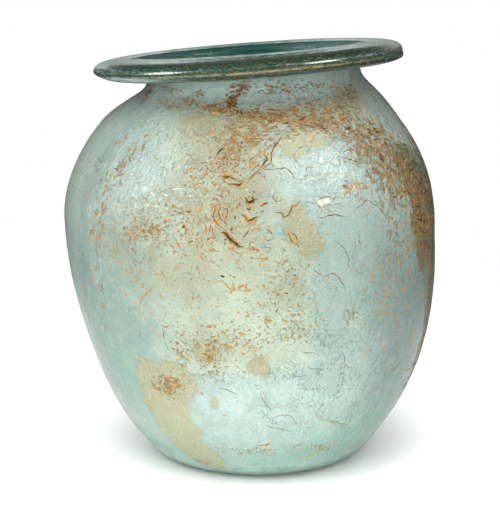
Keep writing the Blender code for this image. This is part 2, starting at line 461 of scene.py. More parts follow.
# %% [markdown]
# ## Faces between the rings
# Quads join each ring to the next, and a fan of triangles closes the floor and the foot. This first shape
# is smooth. It only serves to find places on the glass, and the relief comes later.

# %% Join it into a mesh


def grid_faces(ring_count, column_count, first_pole, last_pole):
    """Quads between rings that close on themselves, and a fan of triangles at each pole."""
    faces = []
    for ring in range(ring_count - 1):
        low = ring * column_count
        for c in range(column_count):
            after = (c + 1) % column_count
            faces.append((low + c, low + column_count + c, low + column_count + after, low + after))
    top = (ring_count - 1) * column_count
    for c in range(column_count):
        after = (c + 1) % column_count
        faces.append((first_pole, c, after))
        faces.append((last_pole, top + after, top + c))
    return faces


turned = np.radians(azimuth)
places = settle(radius * np.sin(turned), -radius * np.cos(turned), height)
flat = places.reshape(-1, 3)
points = np.concatenate([flat, [(0, 0, FLOOR_THICKNESS)], [(0, 0, 0)]])
faces = grid_faces(len(ring_rows), len(azimuths), len(flat), len(flat) + 1)
print(sum(len(f) - 2 for f in faces), "triangles")

# %% [markdown]
# ## Finding a place on the glass
# Marks are placed where the photograph shows them: a ray goes from the camera through a pixel to the
# glass. The place is kept as skin coordinates, an angle round the axis and a length along the section,
# in millimetres.

# %% Find a place from a pixel
PHOTO_WIDTH, PHOTO_HEIGHT = 500, 515
SKIN_RADIUS = 103.0

along_section = run_so_far(np.diff(section[ring_rows], axis=0))
body_rows = np.flatnonzero(zone == "body")
along_section = along_section[body_rows[-1]] - along_section
up = along_section[:, None] * np.ones(len(azimuths))
tree_of_faces = BVHTree.FromPolygons(points.tolist(), faces)
camera_turn = camera.rotation_euler.to_matrix()
SENSOR = camera_data.sensor_width


def look_through(x, y):
    """Where the line of sight through pixel x, y meets the glass: the point, or None, and the face."""
    right = (x - PHOTO_WIDTH / 2) / PHOTO_HEIGHT * SENSOR
    top = (PHOTO_HEIGHT / 2 - y) / PHOTO_HEIGHT * SENSOR
    line = camera_turn @ Vector((right, top, -LENS))
    hit, _, face, _ = tree_of_faces.ray_cast(CAMERA_PLACE / MM, line.normalized())
    return hit, face


def skin_place(x, y):
    """Azimuth in degrees and length along the section in mm, of the glass that pixel x, y shows."""
    hit, face = look_through(x, y)
    assert hit is not None, f"pixel {x}, {y} is off the glass"
    ring = face // len(azimuths)
    column = face % len(azimuths)
    low, high = (places[row, column] for row in (ring, ring + 1))
    share = float(np.clip(np.dot(np.array(hit) - low, high - low) / np.dot(high - low, high - low), 0, 1))
    angle = math.degrees(math.atan2(hit.x - float(axis_shift(np.array(hit.z))), -hit.y))
    return angle, float(along_section[ring] * (1 - share) + along_section[ring + 1] * share)


print("the middle of the belly is at", [round(v, 1) for v in skin_place(250, 250)])

# %% [markdown]
# ## Where the skin lies
# Buried glass grows a skin in sheets as thin as soap film. It stays thick in some places and flakes off
# in others. Each layer below is a list of soft patches: a pixel, the width and height in mm, a turn in
# degrees, a strength. They only say how much of a layer there is. The material's noise breaks them up
# into specks and torn edges.

# %% Paint the layers
# Some layers paint light and shade rather than skin: the pale highlights and glow, the grey shade low at the
# sides, and part of the bare glass.
LAYERS = {
    "film": [
        ((215, 138), 52, 38, 0, 0.9), ((226, 200), 52, 60, 0, 0.8), ((240, 262), 60, 50, 0, 0.75),
        ((235, 310), 74, 60, 0, 0.85), ((286, 335), 26, 34, 0, 0.85), ((190, 338), 40, 36, 0, 0.4),
        ((205, 362), 50, 16, 0, 0.5), ((255, 360), 44, 14, 0, 0.6), ((150, 235), 50, 40, 0, 0.4),
        ((125, 265), 40, 60, 5, 0.25), ((100, 225), 70, 80, 0, 0.22), ((172, 190), 40, 40, -20, 0.25),
        ((175, 110), 40, 14, -10, 0.4), ((290, 112), 80, 14, 5, 0.7), ((345, 112), 50, 18, 30, 0.6),
        ((385, 145), 30, 30, 45, 0.45), ((350, 97), 60, 22, 35, 0.55), ((290, 85), 90, 12, 0, 0.2),
        ((355, 318), 16, 12, 0, 0.5), ((200, 290), 40, 40, 0, 0.4), ((282, 165), 44, 50, 0, 0.15),
    ],
    "beige": [
        ((215, 128), 56, 30, 0, 1.0), ((232, 158), 40, 40, 0, 0.7), ((225, 200), 50, 30, 0, 0.38),
        ((240, 225), 44, 40, 0, 0.28), ((235, 255), 40, 30, 0, 0.2), ((280, 118), 70, 20, 0, 0.66),
        ((340, 115), 50, 24, 20, 0.7), ((130, 240), 60, 60, 0, 0.8), ((235, 350), 60, 20, 0, 0.45),
        ((95, 225), 30, 50, 0, 0.8), ((205, 355), 30, 30, 0, 0.3), ((160, 400), 40, 60, 25, 0.6),
        ((385, 145), 40, 30, 45, 0.9), ((180, 105), 50, 20, -10, 0.6), ((300, 290), 30, 40, 0, 0.5),
        ((195, 180), 30, 30, 0, 0.4), ((254, 212), 36, 34, 0, 0.4), ((262, 300), 60, 50, 0, 0.12),
        ((325, 100), 70, 14, 0, 0.3), ((200, 290), 60, 50, 0, 0.4), ((350, 97), 60, 22, 35, 0.6),
        ((290, 85), 90, 12, 0, 0.2),
    ],
    # Painted shade: grey patches that darken the glass low at both sides, where the belly turns away.
    "painted_side_shade": [
        ((410, 340), 46, 90, 0, 0.75), ((398, 385), 40, 50, 0, 0.7), ((94, 335), 34, 70, 0, 0.75),
        ((110, 300), 40, 70, 0, 0.35),
    ],
    "tan": [
        ((302, 232), 15, 33, 28, 1.0), ((294, 143), 17, 17, 0, 0.9), ((322, 138), 13, 11, 0, 0.9),
        ((176, 380), 26, 20, 20, 1.0), ((166, 405), 26, 36, 15, 1.0), ((180, 435), 20, 38, 25, 1.0),
        ((204, 457), 14, 24, 50, 1.0), ((205, 352), 14, 14, 0, 0.8), ((154, 385), 16, 34, 25, 0.7),
        ((195, 118), 20, 14, 0, 0.45), ((252, 120), 10, 26, 20, 0.5), ((214, 405), 6, 9, 0, 0.7),
        ((258, 365), 12, 12, 0, 0.7), ((362, 152), 10, 8, 30, 0.7), ((267, 374), 5, 8, 0, 0.6),
    ],
    # Bare glass, greyer and bluer, and painted shade where the belly turns away at both sides.
    "bare_and_shade": [
        ((118, 128), 40, 30, -35, 0.6), ((98, 165), 20, 40, 0, 0.5), ((86, 200), 16, 40, 0, 0.32),
        ((88, 290), 16, 70, 0, 0.85), ((105, 345), 24, 60, 0, 0.75), ((93, 335), 26, 60, 0, 0.7),
        ((145, 340), 50, 60, 0, 0.5), ((125, 270), 40, 60, 0, 0.4), ((130, 390), 26, 50, 25, 0.6),
        ((130, 160), 20, 40, -35, 0.5), ((380, 225), 50, 50, 0, 0.14), ((400, 290), 50, 70, 0, 0.7),
        ((410, 350), 36, 70, 0, 0.9), ((385, 385), 36, 40, 0, 0.6), ((345, 108), 60, 20, 20, 0.3),
        ((424, 280), 16, 90, 0, 0.7), ((408, 352), 40, 60, 0, 0.8), ((350, 330), 70, 80, 0, 0.22),
        ((300, 310), 40, 40, 0, 0.25),
    ],
    # Painted light: pale painted highlights on both shoulders, a painted glow low on the belly, and painted
    # light on the neck under the rim.
    "painted_light": [
        ((158, 178), 28, 40, -15, 0.8), ((328, 168), 44, 30, 0, 0.6), ((238, 408), 44, 34, 0, 0.72),
        ((235, 300), 80, 80, 0, 0.35), ((205, 170), 40, 40, 0, 0.25), ((330, 385), 60, 50, 0, 0.55),
        ((240, 425), 90, 40, 0, 0.5), ((180, 86), 60, 16, 0, 0.85), ((160, 92), 30, 14, 0, 0.5),
        ((165, 104), 70, 24, -10, 0.45), ((250, 98), 60, 20, 0, 0.5), ((290, 84), 110, 14, 0, 0.6),
        ((378, 428), 22, 50, 30, 0.5), ((210, 92), 50, 20, 0, 0.4), ((120, 115), 40, 24, -35, 0.4),
        ((290, 385), 50, 40, 0, 0.5), ((265, 190), 30, 24, 0, 0.4), ((315, 200), 60, 30, 0, 0.25),
    ],
    "deep": [
        ((250, 470), 120, 14, 0, 0.6), ((325, 446), 70, 18, 20, 0.7), ((120, 340), 30, 50, 0, 0.25),
        ((360, 420), 50, 34, 0, 0.5), ((172, 456), 50, 20, -30, 0.6), ((390, 400), 36, 50, 0, 0.5),
        ((136, 385), 16, 60, 30, 0.8), ((240, 440), 70, 16, 0, 0.35), ((100, 330), 30, 70, 0, 0.5),
    ],
    "curl": [
        ((248, 148), 20, 30, 10, 0.85), ((262, 158), 8, 22, -30, 0.9), ((224, 155), 20, 26, 0, 0.7),
        ((240, 182), 28, 14, 0, 0.75), ((218, 214), 24, 26, 0, 0.8), ((205, 228), 20, 24, 0, 0.75),
        ((246, 212), 26, 24, 0, 0.75), ((250, 245), 26, 26, 0, 0.65), ((158, 228), 16, 12, 0, 0.6),
        ((133, 234), 14, 10, 0, 0.7), ((184, 225), 12, 16, 0, 0.6), ((200, 182), 16, 12, 0, 0.5),
        ((300, 255), 18, 22, 0, 0.45), ((288, 285), 26, 26, 0, 0.35), ((170, 383), 15, 12, 0, 0.9),
        ((232, 345), 24, 14, 0, 0.7), ((208, 358), 14, 12, 0, 0.7), ((180, 352), 12, 14, 0, 0.55),
        ((262, 318), 22, 26, 0, 0.35), ((356, 186), 16, 12, 0, 0.65), ((310, 175), 30, 10, 0, 0.45),
        ((262, 450), 24, 10, 0, 0.55), ((230, 125), 20, 16, 0, 0.6), ((225, 282), 30, 30, 0, 0.3),
        ((256, 262), 20, 10, 0, 0.6), ((200, 205), 24, 16, 0, 0.55), ((220, 250), 30, 18, 0, 0.45),
    ],
    "fleck": [
        ((215, 108), 17, 8, 0, 0.8), ((232, 99), 8, 14, -20, 0.9), ((200, 93), 8, 5, 0, 0.7),
        ((240, 88), 12, 6, 0, 0.75), ((248, 112), 14, 10, 0, 0.55), ((275, 114), 34, 10, 5, 0.6),
        ((305, 113), 40, 10, 6, 0.58), ((335, 120), 34, 12, 14, 0.58), ((350, 132), 30, 12, 25, 0.65),
        ((300, 100), 60, 8, 4, 0.4), ((278, 88), 30, 8, 0, 0.62), ((315, 122), 30, 10, 8, 0.62),
        ((190, 101), 30, 6, -4, 0.65), ((170, 106), 22, 5, -8, 0.6), ((258, 135), 30, 20, 0, 0.46),
        ((238, 150), 34, 30, 0, 0.45), ((216, 222), 34, 40, 0, 0.14), ((150, 232), 36, 20, 0, 0.28),
        ((265, 320), 34, 34, 0, 0.12), ((240, 338), 34, 14, 0, 0.3), ((210, 352), 16, 18, 0, 0.45),
        ((180, 348), 10, 24, 0, 0.45), ((220, 374), 30, 14, 0, 0.35), ((355, 318), 16, 10, 0, 0.5),
        ((300, 335), 12, 16, 0, 0.4), ((250, 452), 50, 8, 0, 0.45), ((320, 448), 44, 5, -16, 0.5),
        ((285, 290), 26, 30, 0, 0.22), ((205, 462), 24, 6, 20, 0.4), ((168, 386), 20, 14, 0, 0.7),
        ((148, 93), 24, 10, -40, 0.85), ((168, 88), 26, 8, -10, 0.55), ((350, 92), 36, 10, 30, 0.58),
        ((318, 86), 26, 6, 0, 0.58), ((150, 225), 60, 60, 0, 0.16), ((235, 300), 80, 60, 0, 0.1),
        ((310, 230), 40, 40, 0, 0.1), ((200, 170), 40, 40, 0, 0.18),
    ],
    "bark": [
        ((372, 148), 34, 20, 45, 0.52), ((395, 168), 26, 30, 30, 0.66), ((408, 195), 20, 40, 10, 0.55),
        ((420, 215), 18, 60, 0, 0.9), ((360, 138), 24, 14, 35, 0.75), ((385, 130), 34, 14, 45, 0.45),
        ((392, 200), 20, 40, 10, 0.4), ((428, 240), 10, 60, 0, 0.8), ((110, 150), 8, 50, -35, 0.35),
        ((126, 160), 7, 40, -40, 0.55), ((108, 195), 8, 20, -30, 0.45), ((95, 225), 12, 24, 0, 0.4),
        ((400, 250), 26, 20, 0, 0.35), ((100, 290), 6, 44, -6, 0.45), ((139, 95), 10, 14, -45, 0.5),
        ((160, 120), 30, 10, -40, 0.25), ((382, 172), 20, 16, 30, 0.45), ((426, 320), 7, 70, 0, 0.55),
    ],
    "vein": [
        ((385, 260), 40, 40, 0, 0.7), ((382, 300), 24, 50, 0, 0.8), ((404, 275), 16, 40, 0, 0.7),
        ((375, 325), 20, 24, 0, 0.6), ((392, 225), 30, 30, 0, 0.55), ((98, 290), 10, 50, -6, 0.6),
        ((150, 280), 20, 40, -30, 0.45), ((160, 325), 16, 20, 0, 0.5), ((360, 200), 30, 20, 0, 0.45),
        ((380, 385), 40, 20, 0, 0.3), ((345, 418), 30, 10, 0, 0.4), ((130, 255), 30, 30, 0, 0.3),
    ],
    "dots": [
        ((240, 300), 90, 70, 0, 0.75), ((265, 330), 50, 40, 0, 0.6), ((215, 340), 50, 40, 0, 0.6),
        ((140, 220), 60, 80, 0, 0.55), ((110, 150), 40, 60, -30, 0.5), ((170, 310), 50, 40, 0, 0.4),
        ((290, 270), 40, 40, 0, 0.6), ((230, 375), 44, 20, 0, 0.8), ((170, 395), 30, 30, 0, 0.5),
        ((200, 120), 50, 30, 0, 0.5), ((300, 95), 80, 16, 0, 0.6), ((395, 320), 30, 60, 0, 0.45),
        ((320, 230), 60, 40, 0, 0.25), ((300, 420), 90, 40, 0, 0.2), ((330, 180), 50, 30, 0, 0.3),
    ],
    "brown": [
        ((420, 196), 20, 50, 0, 1.0), ((424, 230), 16, 36, 0, 1.0), ((410, 172), 20, 26, 20, 0.66),
        ((393, 152), 20, 18, 40, 0.22), ((431, 300), 20, 80, 0, 0.8), ((424, 342), 16, 50, 0, 0.8),
        ((412, 374), 12, 50, 0, 0.8), ((141, 93), 8, 6, -45, 0.5), ((232, 104), 4, 5, 0, 0.8),
    ],
    "wrinkle": [
        ((310, 370), 60, 50, 0, 1.0), ((330, 335), 40, 50, 0, 0.8), ((155, 180), 40, 56, 0, 0.6),
        ((290, 420), 60, 26, 0, 0.7), ((225, 375), 30, 16, 0, 0.5), ((185, 140), 40, 40, -30, 0.5),
        ((370, 395), 50, 50, 0, 0.9), ((340, 195), 60, 20, 0, 0.4), ((365, 340), 50, 60, 0, 0.6),
    ],
    "foil": [
        ((157, 180), 38, 56, 0, 1.0), ((175, 205), 44, 18, 0, 0.8), ((180, 142), 30, 30, -30, 0.5),
        ((325, 172), 50, 24, 0, 0.25),
    ],
    "contour": [
        ((385, 290), 40, 60, 0, 0.6), ((330, 180), 50, 26, 0, 0.6), ((200, 285), 40, 30, 0, 0.3),
        ((350, 250), 50, 50, 0, 0.5), ((285, 290), 30, 40, 0, 0.3), ((200, 165), 30, 40, 0, 0.4),
        ((260, 190), 50, 30, 0, 0.5), ((290, 425), 30, 20, 0, 0.6), ((160, 255), 40, 30, 0, 0.3),
        ((370, 150), 40, 30, 0, 0.5), ((320, 345), 40, 40, 0, 0.4),
    ],
    "streak": [
        ((110, 140), 50, 60, -30, 0.9), ((90, 220), 26, 80, 0, 0.9), ((95, 310), 24, 60, 0, 0.8),
        ((385, 120), 40, 50, 0, 0.6), ((130, 390), 24, 50, 0, 0.6), ((405, 145), 26, 60, 0, 0.8),
        ((150, 115), 60, 30, -30, 0.6), ((140, 160), 30, 50, -30, 0.5), ((350, 98), 60, 30, 30, 0.7),
    ],
    "iris": [
        ((276, 141), 8, 8, 0, 1.0), ((262, 163), 5, 7, 0, 0.9), ((284, 233), 8, 10, 30, 1.0),
        ((277, 214), 6, 5, 0, 0.8), ((350, 122), 5, 4, 0, 1.0), ((333, 145), 7, 7, 0, 1.0),
        ((263, 233), 7, 8, 0, 0.9), ((262, 246), 6, 5, 0, 0.8), ((242, 178), 5, 4, 0, 0.6),
        ((340, 142), 10, 5, 0, 0.7), ((222, 220), 5, 8, 0, 0.6), ((336, 222), 8, 4, 0, 0.5),
    ],
}

# %% [markdown]
# ### The back
# Only the front can be placed by pixels. Patches on the back are placed by degrees from the front and
# millimetres up the section, and they carry on what the front shows, plainer.

# %% Say what lies on the back
BACK_LAYERS = {
    "film": [
        ((180, 150), 150, 100, 0, 0.7), ((140, 190), 60, 50, 0, 0.6), ((225, 110), 70, 70, 0, 0.6),
        ((180, 60), 70, 50, 0, 0.5), ((-92, 150), 40, 90, 0, 0.6), ((105, 185), 50, 40, 0, 0.6),
    ],
    "beige": [
        ((170, 180), 90, 50, 0, 0.8), ((230, 140), 60, 50, 0, 0.6), ((100, 150), 50, 80, 0, 0.8),
    ],
    "tan": [
        ((150, 120), 30, 40, 20, 0.9), ((205, 90), 24, 50, -15, 0.9), ((190, 200), 44, 16, 0, 0.8),
        ((240, 170), 26, 30, 0, 0.9), ((122, 80), 22, 40, 0, 0.8),
    ],
    "bare_and_shade": [
        ((130, 100), 50, 90, 0, 0.7), ((250, 80), 60, 70, 0, 0.7), ((200, 40), 90, 30, 0, 0.8),
    ],
    # Painted light: a band all round the neck under the rim and round the foot, and a painted glow on the
    # back.
    "painted_light": [
        ((180, 130), 70, 60, 0, 0.5), ((0, 234), 760, 20, 0, 0.8), ((95, 214), 60, 20, 0, 0.6),
        ((0, 4), 800, 12, 0, 0.75),
    ],
    "deep": [
        ((180, 10), 330, 26, 0, 1.0), ((120, 30), 80, 40, 0, 0.6), ((240, 30), 80, 40, 0, 0.6),
    ],
    "curl": [
        ((160, 150), 40, 40, 0, 0.7), ((210, 170), 40, 30, 0, 0.7), ((190, 100), 40, 40, 0, 0.6),
        ((235, 120), 30, 40, 0, 0.6), ((130, 160), 30, 30, 0, 0.6),
    ],
    "fleck": [
        ((120, 205), 80, 16, 0, 0.8), ((170, 210), 90, 14, 0, 0.7), ((220, 208), 80, 14, 0, 0.6),
        ((200, 150), 70, 60, 0, 0.35), ((150, 120), 60, 60, 0, 0.35), ((240, 180), 50, 30, 0, 0.6),
        ((180, 75), 60, 40, 0, 0.4), ((250, 120), 50, 60, 0, 0.25),
    ],
    "bark": [
        ((84, 185), 30, 40, 0, 0.8), ((104, 165), 50, 70, 0, 0.85), ((112, 110), 30, 70, 0, 0.5),
        ((-100, 140), 30, 90, 0, 0.35), ((96, 60), 16, 60, 0, 0.5),
    ],
    "vein": [
        ((135, 120), 50, 60, 0, 0.6), ((225, 80), 50, 50, 0, 0.6), ((95, 90), 30, 60, 0, 0.5),
    ],
    "dots": [
        ((180, 130), 220, 130, 0, 0.5), ((105, 80), 60, 60, 0, 0.4), ((260, 100), 60, 100, 0, 0.5),
        ((150, 225), 140, 16, 0, 0.5),
    ],
    "brown": [
        ((82, 104), 18, 70, 0, 0.9), ((82, 70), 14, 50, 0, 0.9), ((82, 152), 44, 62, 0, 1.0),
        ((88, 118), 20, 40, 0, 0.8), ((97, 84), 16, 90, 0, 0.8), ((112, 160), 34, 40, 20, 0.7),
        ((92, 40), 10, 40, 0, 0.7),
    ],
    "wrinkle": [
        ((180, 110), 110, 70, 0, 0.7), ((120, 190), 50, 40, 0, 0.5), ((240, 60), 60, 50, 0, 0.6),
    ],
    "foil": [
        ((180, 130), 90, 60, 0, 0.6), ((120, 190), 50, 40, 0, 0.5), ((222, 180), 40, 40, 0, 0.6),
    ],
    "contour": [
        ((180, 150), 130, 100, 0, 0.5), ((120, 130), 50, 80, 0, 0.5), ((240, 130), 50, 80, 0, 0.5),
    ],
    "streak": [
        ((180, 170), 220, 100, 0, 0.35), ((255, 150), 60, 110, 0, 0.7), ((95, 170), 60, 90, 0, 0.7),
        ((-92, 140), 50, 140, 0, 0.8), ((88, 208), 60, 24, 0, 0.6),
    ],
    "iris": [
        ((160, 165), 8, 10, 0, 0.9), ((214, 120), 9, 6, 0, 0.8), ((128, 140), 6, 8, 0, 0.8),
    ],
}

# %% [markdown]
# ### Soft patches
# Each patch is a soft ellipse on the skin. Patches of one layer lie over each other like veils: what one
# leaves uncovered, the next may cover.

# %% Spread the patches over the glass
PATCH_RADIUS, PATCH_FALL, PATCH_POWER = 60.0, 0.8, 1.1


def soft_patch(angle, length, wide, tall, turn_degrees):
    """How much a patch covers each point of the glass, from 0 to 1, with a soft edge."""
    across = np.radians((azimuth - angle + 180) % 360 - 180) * np.maximum(radius, PATCH_RADIUS)
    along = up - length
    turn = math.radians(turn_degrees)
    u = (across * math.cos(turn) + along * math.sin(turn)) / (wide / 2)
    v = (along * math.cos(turn) - across * math.sin(turn)) / (tall / 2)
    return np.exp(-PATCH_FALL * (u * u + v * v) ** PATCH_POWER)


BODY_ZONES, RIM_ZONES = ["body", "neck", "foot"], ["lip", "flange", "roll"]
outer = np.isin(zone, BODY_ZONES).astype(float)[:, None]
layers = {}
for layer, patches in LAYERS.items():
    uncovered = np.ones_like(radius)
    placed = [(skin_place(*pixel), *shape) for pixel, *shape in patches] + BACK_LAYERS.get(layer, [])
    for (angle, length), wide, tall, turn_degrees, strength in placed:
        uncovered *= 1 - strength * soft_patch(angle, length, wide, tall, turn_degrees)
    layers[layer] = (1 - uncovered) * outer
    print(layer, "covers", round(100 * float(layers[layer][body_rows].mean())), "% of the body")

# %% [markdown]
# ### The rim's bands
# Bands run round the rim: pale film on the flange with painted reflections over it, a painted highlight
# along the lip edge, olive bands, and on the roll painted dark reflections and shade, a painted sheen,
# painted reflections of the floor and a painted tan reflection of the shoulder. A band has a height on
# the roll, or a distance from the mouth, and its strength changes with the degrees from the front.

# %% Paint the rim
ROUND_THE_RIM = {
    "flange": {-180: 0.35, -140: 0.5, -115: 1.0, -80: 1.0, -45: 0.75, -20: 0.4, 0: 0.25, 25: 0.3, 45: 0.6,
               62: 1.0, 110: 1.0, 140: 0.6, 180: 0.35},
    "lip highlight": {-180: 0.0, -95: 0.0, -75: 0.8, 0: 0.5, 30: 0.6, 55: 0.7, 80: 0.8, 100: 0.0, 180: 0.0},
    "roll top": {-180: 0.5, -140: 0.6, -110: 1.0, -80: 0.9, -65: 0.5, -50: 0.1, 0: 0.0, 40: 0.0, 55: 0.25,
                 75: 0.75, 90: 0.9, 110: 0.9, 140: 0.6, 180: 0.5},
    "roll side": {-180: 0.3, -100: 0.4, -82: 0.35, -62: 0.25, -42: 0.15, -25: 0.0, 50: 0.0, 66: 0.15,
                  76: 0.35, 95: 0.5, 180: 0.3},
    "roll under": {-180: 0.5, -90: 0.7, -70: 0.6, -50: 0.95, -35: 0.45, -15: 0.05, 0: 0.0, 60: 0.0,
                   75: 0.35, 90: 0.6, 180: 0.5},
    "dark band": {-180: 0.0, -72: 0.0, -55: 0.7, -30: 0.6, 0: 0.5, 15: 0.7, 40: 0.95, 60: 0.8, 80: 0.3,
                  95: 0.0, 180: 0.0},
    "tan reflection": {-80: 0.0, -60: 0.35, -40: 0.3, -20: 0.6, 0: 0.95, 25: 0.9, 40: 0.5, 60: 0.1},
    "olive": {-180: 0.3, -70: 0.1, -30: 0.5, 0: 0.85, 30: 1.0, 90: 0.9, 130: 0.5, 180: 0.3},
    "milky mouth": {-180: 0.0, -160: 0.0, -145: 0.2, -110: 0.5, -80: 0.5, 80: 0.8, 115: 0.8, 132: 0.5,
                    150: 0.1, 165: 0.0, 180: 0.0},
}


def round_the_rim(name):
    """A strength for each column, from a few strengths at degrees from the front."""
    marks = ROUND_THE_RIM[name]
    return np.interp((azimuths + 180) % 360 - 180, list(marks), list(marks.values()))


def near(values, middle, spread):
    """1 where values are at middle, and less on both sides."""
    return np.exp(-((values - middle) / spread) ** 2)[:, None]


ROLL_HEIGHTS = {
    "side gap": (-0.18, 0.20), "under": (-0.55, 0.32), "sheen": (0.35, 0.18), "bottom": (-0.95, 0.20),
    "tan": (-0.17, 0.11), "top band": (0.80, 0.17), "low band": (-0.50, 0.12), "middle band": (0.05, 0.10),
}
LIP_EDGE, LIP_EDGE_WIDTH = MOUTH_RADIUS + 8.0, 2.6
FILM_START, FILM_FADE = 7.0, 4.0
MILK_START, MILK_FADE = 190.0, 20.0
SHEEN, BOTTOM_PALE = 0.35, 0.4

def on_roll(name):
    """1 at a height on the roll, which runs from -1 at its bottom to 1 at its top, and less off it."""
    return near(roll_rise, *ROLL_HEIGHTS[name])

rim_radius = section[ring_rows, 0]
rim_part = {name: (zone == name).astype(float)[:, None] for name in ("lip", "flange", "roll")}
roll_rise = (section[ring_rows, 1] - RIM_HEIGHT) / (ROLL_THICKNESS / 2)
outer_roll = rim_part["roll"] * (rim_radius > ROLL_RADIUS)[:, None]
upper_roll = rim_part["roll"] * smooth_step((roll_rise - 0.2) / 0.6)[:, None]
off_the_mouth = smooth_step((rim_radius - MOUTH_RADIUS - FILM_START) / FILM_FADE)[:, None]
lip_edge = (rim_part["flange"] + rim_part["lip"]) * near(rim_radius, LIP_EDGE, LIP_EDGE_WIDTH)
# Pale film on the flange, with painted light over the rim: a highlight on the lip edge, reflections of the
# floor under the roll, a sheen on it.
layers["rim_film_and_light"] = np.maximum.reduce([
    rim_part["flange"] * off_the_mouth * round_the_rim("flange"),
    lip_edge * round_the_rim("lip highlight"),
    upper_roll * round_the_rim("roll top"),
    outer_roll * (1 - 0.8 * on_roll("side gap")) * round_the_rim("roll side"),
    outer_roll * on_roll("under") * round_the_rim("roll under"),
    outer_roll * on_roll("sheen") * round_the_rim("dark band") * SHEEN,
    outer_roll * on_roll("bottom") * np.full(len(azimuths), BOTTOM_PALE),
])
# A painted reflection of the tan shoulder, low on the front of the roll.
layers["rim_tan_reflection"] = outer_roll * on_roll("tan") * round_the_rim("tan reflection")
# Painted dark reflections and shade in bands on the roll, the top one in the groove beside the lip.
low_bands = 0.6 * on_roll("low band") + 0.4 * on_roll("middle band")
dark_bands = rim_part["roll"] * on_roll("top band") + outer_roll * low_bands
layers["rim_painted_dark"] = dark_bands * round_the_rim("dark band")
mouth_wall = np.isin(zone, ["inner wall", "lip"]).astype(float)[:, None]
high_up = smooth_step((section[ring_rows, 1] - MILK_START) / MILK_FADE)[:, None]
layers["mouth_milk"] = mouth_wall * high_up * round_the_rim("milky mouth")
teal_bottom = 1 - 0.8 * smooth_step((-0.5 - roll_rise) / 0.3)[:, None]
layers["rim_brown"] = (rim_part["roll"] * teal_bottom + rim_part["flange"]) * round_the_rim("olive")
for name in ("rim_film_and_light", "rim_tan_reflection", "rim_painted_dark", "rim_brown"):
    print(name, "covers", round(100 * float(layers[name][np.isin(zone, RIM_ZONES)].mean())), "% of the rim")

# %% [markdown]
# ## Relief
# Blown glass is never quite even, and its skin is rough to the finger. The surface is moved inwards a
# little, by broad, middle and fine noise, so that it stays inside the solid. The underside is pushed up
# in the middle.

# %% Move the surface
DEPTH, BROAD, MIDDLE, FINE = 0.40, 0.24, 0.12, 0.07
BROAD_SIZE, MIDDLE_SIZE, FINE_SIZE = 38.0, 11.0, 3.6
LEAST_DEPTH, RIM_SHARE, FOOT_FADE = 0.03, 0.45, 9.0
KICK_RISE, KICK_WIDTH = 1.5, 24.0
CRUST_RISE = {"brown": 0.14, "tan": 0.08, "fleck": 0.06, "bark": 0.08}
CRUST_DEPTH = 0.02


def relief(angle, length):
    """How far the glass lies off the solid's smooth surface, in mm: always a little inside it."""
    turn = math.radians(angle)
    place = Vector((SKIN_RADIUS * math.sin(turn), -SKIN_RADIUS * math.cos(turn), length))
    waves = BROAD * noise.noise(place / BROAD_SIZE) + MIDDLE * noise.noise(place / MIDDLE_SIZE)
    return min(-LEAST_DEPTH, waves + FINE * noise.noise(place / FINE_SIZE) - DEPTH)


tangents = np.gradient(section[ring_rows], axis=0)
tangents /= np.linalg.norm(tangents, axis=1)[:, None]
sunk = np.zeros_like(radius)
for row in np.flatnonzero(np.isin(zone, ["neck", "body", "lip", "flange", "roll"])):
    on_body = zone[row] == "body"
    fade = float(smooth_step(along_section[row] / FOOT_FADE)) if on_body else RIM_SHARE
    for column, angle in enumerate(azimuths):
        sunk[row, column] = fade * relief(angle, along_section[row])
crust_rise = sum(rise * layers[name] for name, rise in CRUST_RISE.items())
sunk = np.where(sunk < 0, np.minimum(sunk + crust_rise, -CRUST_DEPTH), 0.0)
moved_radius = radius - tangents[:, 1][:, None] * sunk
moved_height = height + tangents[:, 0][:, None] * sunk
kick = KICK_RISE * smooth_step((FOOT_RADIUS - FOOT_ROUNDING - radius) / KICK_WIDTH)
moved_height += np.where((zone == "underside")[:, None], kick, 0.0)
print("the surface lies", round(float(-sunk.min()), 2), "mm inside the solid at most")

# %% [markdown]
# ## The mesh that is seen
# The moved points take the place of the smooth ones, with the same faces, and become the urn that is
# seen.

# %% Join the mesh
places = settle(moved_radius * np.sin(turned), -moved_radius * np.cos(turned), moved_height)
flat = places.reshape(-1, 3)
points = np.concatenate([flat, [(0, 0, FLOOR_THICKNESS)], [(0, 0, KICK_RISE)]])
mesh = bpy.data.meshes.new("urn_glass")
mesh.from_pydata((points * MM).tolist(), [], faces)
mesh.shade_smooth()
urn = add_object("urn_glass", mesh)

# %% [markdown]
# ## Layers on the mesh
# The painted amounts are kept as attributes of the points, where the material can read them. The skin
# coordinates are kept too, because noise that is placed by them follows the glass round.

# %% Keep the layers on the mesh


def keep(name, values):
    """Stores a number or a vector for each point. The two middle points copy the ring beside them."""
    flat_values = values.reshape(len(flat), -1)
    flat_values = np.concatenate([flat_values, flat_values[:1], flat_values[-1:]])
    kind, slot = ("FLOAT_VECTOR", "vector") if flat_values.shape[1] == 3 else ("FLOAT", "value")
    attribute = mesh.attributes.new(name, kind, "POINT")
    attribute.data.foreach_set(slot, flat_values.astype(np.float32).ravel())

keep("skin", np.stack([SKIN_RADIUS * np.sin(turned), -SKIN_RADIUS * np.cos(turned), up], -1))
for layer, values in layers.items():
    keep(layer, values)
ZONE_LAYERS = {"rim": RIM_ZONES, "inside": ["floor", "inner wall"], "throat": ["inner wall", "lip"]}
for layer, zones in ZONE_LAYERS.items():
    keep(layer, np.isin(zone, zones).astype(float)[:, None] * np.ones_like(radius))
print(len(mesh.attributes), "attributes on the glass")

# %% [markdown]
# ## The weathered glass
# One material does the whole vessel, because it is one piece. It starts with clear aqua glass. Each
# layer of skin is laid over it in turn, and noise decides where the layer holds and where it has flaked.

